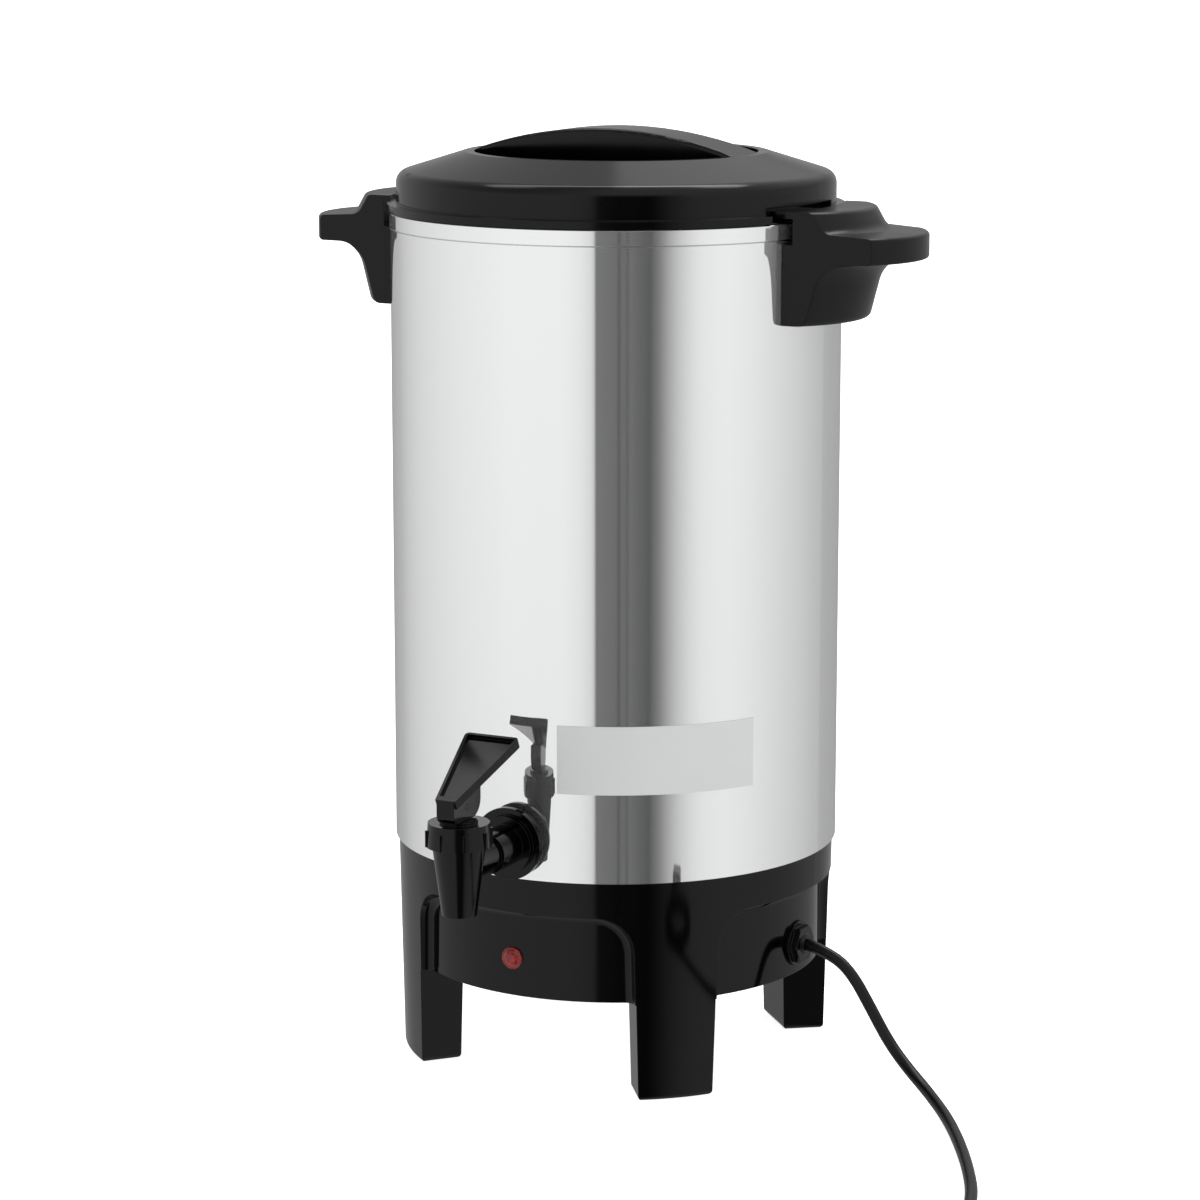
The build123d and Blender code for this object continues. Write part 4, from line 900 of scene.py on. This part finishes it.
# --- Studio -------------------------------------------------------------------------------------------
@dataclass
class Studio:
    """Camera, floor and surrounding light.

    wall_lights and roof_lights give brightness by degrees round the urn from the camera's side. low_light and
    strip_light are strengths, and the fields beside them are parts of a direction, -1 to 1.
    """

    azimuth: float = 26.1
    pitch: float = 10.91
    distance: float = 1.8101
    height: float = 0.5735
    yaw: float = 0.25
    lens: float = 111.42
    sensor: float = 36.0
    far: float = 100.0
    floor_size: float = 80.0
    floor_shade: float = 0.9
    floor_roughness: float = 0.9
    floor_glow: float = 0.85
    wall_lights: Pairs = (
        (-180, 0.34), (-146, 0.47), (-134, 0.60), (-120, 0.71), (-102, 0.79), (-86, 0.85), (-55, 0.925),
        (-27, 0.92), (-17.5, 0.84), (-11.5, 0.71), (-10, 0.145), (0.7, 0.11), (1.5, 0.05), (2.3, 0.11),
        (5.1, 0.11), (5.9, 0.055), (6.7, 0.12), (14, 0.07), (17, 0.055), (22, 0.19), (27, 0.40), (32.5, 0.60),
        (38, 0.745), (43.5, 0.835), (50, 0.88), (58, 0.90), (70, 0.86), (84, 0.78), (98, 0.70), (116, 0.59),
        (139, 0.42), (180, 0.36),
    )
    roof_lights: Pairs = ((-180, 0.50), (-60, 0.52), (0, 0.98), (180, 1.0))
    roof_from: float = 0.25
    roof_full: float = 0.6
    low_from: float = -0.30
    low_light: float = 0.90
    strip_low: float = 0.79
    strip_high: float = 0.91
    strip_soft: float = 0.02
    strip_fade: float = 0.25
    strip_light: float = 5.0

    def camera(self) -> None:
        """Place the camera in front of the urn, looking slightly down."""
        data = bpy.data.cameras.new("camera")
        data.lens = self.lens
        data.sensor_width = self.sensor
        data.clip_end = self.far
        eye = bpy.data.objects.new("camera", data)
        turn = math.radians(self.azimuth)
        eye.location = (self.distance * math.sin(turn), -self.distance * math.cos(turn), self.height)
        eye.rotation_euler = (math.radians(90 - self.pitch), 0.0, math.radians(self.azimuth + self.yaw))
        bpy.context.scene.collection.objects.link(eye)
        bpy.context.scene.camera = eye

    def floor(self) -> None:
        """Lay the pale floor, which lights the urn but isn't mirrored in it."""
        bpy.ops.mesh.primitive_plane_add(size=self.floor_size, location=(0, 0, 0))
        floor = bpy.context.object
        floor.name = "floor"
        shader = Shader("pale_floor")
        shader.set(Base_Color=(*[self.floor_shade] * 3, 1.0), Roughness=self.floor_roughness,
                   Emission_Color=(1, 1, 1, 1), Emission_Strength=self.floor_glow)
        floor.data.materials.append(shader.material)
        floor.visible_glossy = False

    def ring(self, wires: Wiring, around: Socket, lights: Pairs) -> Socket:
        """Light that changes with the direction round the urn.

        Args:
            wires: the world's node tree.
            around: share of the turn, 0 to 1, with the camera's side at 0.5.
            lights: (degrees from the camera's side, brightness) in rising order.

        Returns:
            The light as a grey.
        """
        return wires.ramp(around, [((degrees + 180) / 360, (light,) * 3) for degrees, light in lights])

    def colour(self, wires: Wiring, axes: Any) -> Socket:
        """Light round the urn, from the walls and from the roof above them.

        Args:
            wires: the world's node tree.
            axes: the direction's X, Y and Z, with Y away from the camera.

        Returns:
            The light as a grey.
        """
        angle = wires.reckon("ARCTAN2", axes["X"], wires.reckon("MULTIPLY", axes["Y"], -1.0))
        around = wires.remap(angle, (-math.pi, math.pi))
        mixed = {
            "Factor": wires.remap(axes["Z"], (self.roof_from, self.roof_full)),
            "A": self.ring(wires, around, self.wall_lights),
            "B": self.ring(wires, around, self.roof_lights),
        }
        return wires.add("ShaderNodeMix", mixed, data_type="RGBA").outputs["Result"]

    def strength(self, wires: Wiring, axes: Any) -> Socket:
        """Strength of the light: less from below the table, more from a strip overhead on the far side.

        Args:
            wires: the world's node tree.
            axes: the direction's X, Y and Z, with Y away from the camera.

        Returns:
            The strength.
        """
        low = wires.remap(axes["Z"], (self.low_from, 0.0), (self.low_light, 1.0))
        dark, bright = (0.0,) * 3, (1.0,) * 3
        strip = wires.ramp(axes["Z"], (
            (self.strip_low, dark),
            (self.strip_low + self.strip_soft, bright),
            (self.strip_high, bright),
            (self.strip_high + self.strip_soft, dark),
        ))
        behind = wires.remap(axes["Y"], (0.0, self.strip_fade), (0.0, self.strip_light))
        return wires.reckon("MULTIPLY_ADD", strip, behind, low)

    def surroundings(self) -> None:
        """Softbox surroundings: bright all round, with a dark gap where the camera stands."""
        world = bpy.data.worlds.new("studio")
        bpy.context.scene.world = world
        world.use_nodes = True
        wires = Wiring(world.node_tree)
        turned = {"Vector": wires.place("Generated"), "Rotation": (0, 0, math.radians(-self.azimuth))}
        direction = wires.add("ShaderNodeMapping", turned).outputs["Vector"]
        axes = wires.add("ShaderNodeSeparateXYZ", {"Vector": direction}).outputs
        background = world.node_tree.nodes["Background"].inputs
        wires.put(background["Color"], self.colour(wires, axes))
        wires.put(background["Strength"], self.strength(wires, axes))

    def build(self) -> None:
        """Set up the whole studio."""
        self.camera()
        self.floor()
        self.surroundings()
        bpy.context.scene.view_settings.view_transform = "Standard"
        LOG.info("studio: camera %.3f m from the urn's axis, floor and surroundings", self.distance)


# --- Sub-assemblies -----------------------------------------------------------------------------------
@dataclass
class Drum(SubAssembly):
    """Steel drum with its blank label film and a thin darker band under its folded rim, a painted shadow of
    the hem's edge.
    """

    finishes: ClassVar[dict[str, Finish]] = {"tank": Finish.DRUM_STEEL}
    radius: float = 110.0 * MM
    film: float = 0.12 * MM
    label_sides: int = 360
    label_from: float = 11.5
    label_to: float = 62.5
    label_low: float = 152.0 * MM
    label_high: float = 185.0 * MM
    hem: float = 410.4 * MM
    hem_shadow_width: float = 0.6 * MM
    hem_shadow_sides: int = 240

    def off_label(self, centre: Vector, normal: Vector) -> bool:
        """Tell whether a face lies beyond the label's ends."""
        return not self.label_from < math.degrees(math.atan2(centre.x, -centre.y)) < self.label_to

    def label(self) -> bpy.types.Object:
        """Wrap the film round the drum's side, with its ends on edges of the band that it is cut from.

        Returns:
            The label.
        """
        width, middle = self.label_high - self.label_low, (self.label_high + self.label_low) / 2
        turn = math.radians(self.label_from % (360 / self.label_sides))
        label = Bench.band("label_film", self.label_sides, self.radius + self.film / 2, width, middle, turn)
        Bench.pick(label, self.off_label)
        bpy.ops.mesh.delete(type="FACE")
        Bench.leave(label)
        Bench.modify(label, "SOLIDIFY", thickness=self.film, offset=1.0)
        Bench.smooth(label)
        return label

    def hem_shadow_band(self) -> bpy.types.Object:
        """Lay a thin darker steel band under the folded rim: a painted shadow of the hem's edge.

        Returns:
            The crease.
        """
        hem_shadow_band = Bench.band("rim_hem_shadow_band", self.hem_shadow_sides, self.radius, self.hem_shadow_width, self.hem)
        Bench.modify(hem_shadow_band, "SOLIDIFY", thickness=self.hem_shadow_width / 2, offset=1.0)
        Bench.smooth(hem_shadow_band)
        return hem_shadow_band

    def build(self, nodes: Nodes) -> None:
        """Dress the drum, stick the label on it and lay the painted hem shadow under its rim.

        Args:
            nodes: the frame's nodes by name.
        """
        super().build(nodes)
        label = self.label()
        hem_shadow_band = self.hem_shadow_band()
        for piece, finish, slot in ((label, Finish.FILM, "nylon"), (hem_shadow_band, Finish.CREASE, "polished_steel")):
            Paint.on(piece, finish)
            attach(piece, "urn")


@dataclass
class Base(SubAssembly):
    """Moulded base with its cover, studs, gland and signal lamp.

    lens_profile is in millimetres, from the stem's back to the lens's tip.
    """

    finishes: ClassVar[dict[str, Finish]] = {
        "base_housing": Finish.BASE_BLACK,
        "bottom_cover": Finish.PLATE,
        "tank_studs": Finish.PLATE,
        "stud_nuts": Finish.PLATE,
        "cord_gland": Finish.BASE_BLACK,
        "gland_nut": Finish.NYLON,
        "lamp_nut": Finish.NYLON,
        "neon_lamp": Finish.LAMP,
        "lamp_lens": Finish.LENS,
    }
    turn: float = -2.95
    panel: float = 102.0 * MM
    lamp_height: float = 66.6 * MM
    lens_sides: int = 24
    lens_wall: float = 1.0 * MM
    lens_profile: Pairs = (
        (4.5, -16.0), (4.5, -0.3), (5.5, -0.3), (5.5, 0.9), (5.2, 1.3), (4.7, 1.3), (4.1, 2.0), (3.0, 2.9),
        (1.6, 3.4), (0.3, 3.6),
    )

    def lens(self) -> bpy.types.Object:
        """Model the faceted lens with its rim and hollow stem.

        Returns:
            The lens, in its place.
        """
        profile = [(radius * MM, height * MM) for radius, height in self.lens_profile]
        lens = Bench.turned("lens_cap", profile, self.lens_sides)
        back = profile[0][1]
        Bench.pick(lens, lambda centre, normal: centre.z < back + NEAR)
        bpy.ops.mesh.inset(thickness=self.lens_wall)
        bpy.ops.mesh.extrude_region_move(TRANSFORM_OT_translate={"value": (0, 0, -back)})
        Bench.leave(lens)
        Bench.set_down(lens, from_tap(self.turn, self.panel, self.lamp_height))
        return lens

    def build(self, nodes: Nodes) -> None:
        """Dress the base and set the lens in its panel.

        Args:
            nodes: the frame's nodes by name.
        """
        super().build(nodes)
        lens = self.lens()
        Paint.on(lens, Finish.LENS)
        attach(lens, "urn")
        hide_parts("lamp_lens")


@dataclass
class Tap(SubAssembly):
    """Tap with its bonnet, stem, spring, lever and seals."""

    finishes: ClassVar[dict[str, Finish]] = {
        "tap_body": Finish.TAP_BLACK,
        "tap_bonnet": Finish.TAP_BLACK,
        "lever": Finish.TAP_BLACK,
        "tap_nut": Finish.TAP_BLACK,
        "tap_stem": Finish.TAP_BLACK,
        "seat_cup": Finish.SILICONE,
        "tap_spring": Finish.PLATE,
        "lever_pin": Finish.TAP_BLACK,
        "outer_gasket": Finish.GASKET,
        "inner_gasket": Finish.SILICONE,
    }
    spout: float = -164.5 * MM
    lift: float = 5.6 * MM

    def build(self, nodes: Nodes) -> None:
        """Dress the tap and give its spring a mesh of its own.

        Args:
            nodes: the frame's nodes by name.
        """
        super().build(nodes)
        spring = nodes["tap_spring"]
        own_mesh(spring)


@dataclass
class Lid(SubAssembly):
    """Bayonet lid with its seal."""

    finishes: ClassVar[dict[str, Finish]] = {"lid_shell": Finish.LID_BLACK, "lid_seal": Finish.SILICONE}


@dataclass
class Handles(SubAssembly):
    """Both side handles and their screws."""

    finishes: ClassVar[dict[str, Finish]] = {
        "handle_left": Finish.HANDLE_BLACK,
        "handle_right": Finish.HANDLE_BLACK,
        "handle_screws": Finish.PLATE,
    }


@dataclass
class Percolator(SubAssembly):
    """Tube, foot, basket and spreader inside the drum."""

    finishes: ClassVar[dict[str, Finish]] = {
        "percolator_foot": Finish.ALUMINIUM,
        "percolator_tube": Finish.ALUMINIUM,
        "coffee_basket": Finish.ALUMINIUM,
        "basket_lid": Finish.ALUMINIUM,
    }


@dataclass
class Controls(SubAssembly):
    """Heaters and controls under the drum's floor."""

    finishes: ClassVar[dict[str, Finish]] = {
        "heating_element": Finish.SHEATH,
        "keep_warm_heater": Finish.SHEATH,
        "thermostat": Finish.PLATE,
        "thermal_fuse": Finish.NYLON,
        "terminal_block": Finish.NYLON,
    }


def main() -> None:
    """Build everything around the frame."""
    logging.basicConfig(level=logging.INFO)
    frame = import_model()
    nodes = frame["nodes"]
    Studio().build()
    for assembly in (Plug(), PowerCord(), Drum(), Base(), Tap(), Lid(), Handles(), Percolator(), Controls()):
        assembly.build(nodes)


if __name__ == "__main__":
    main()
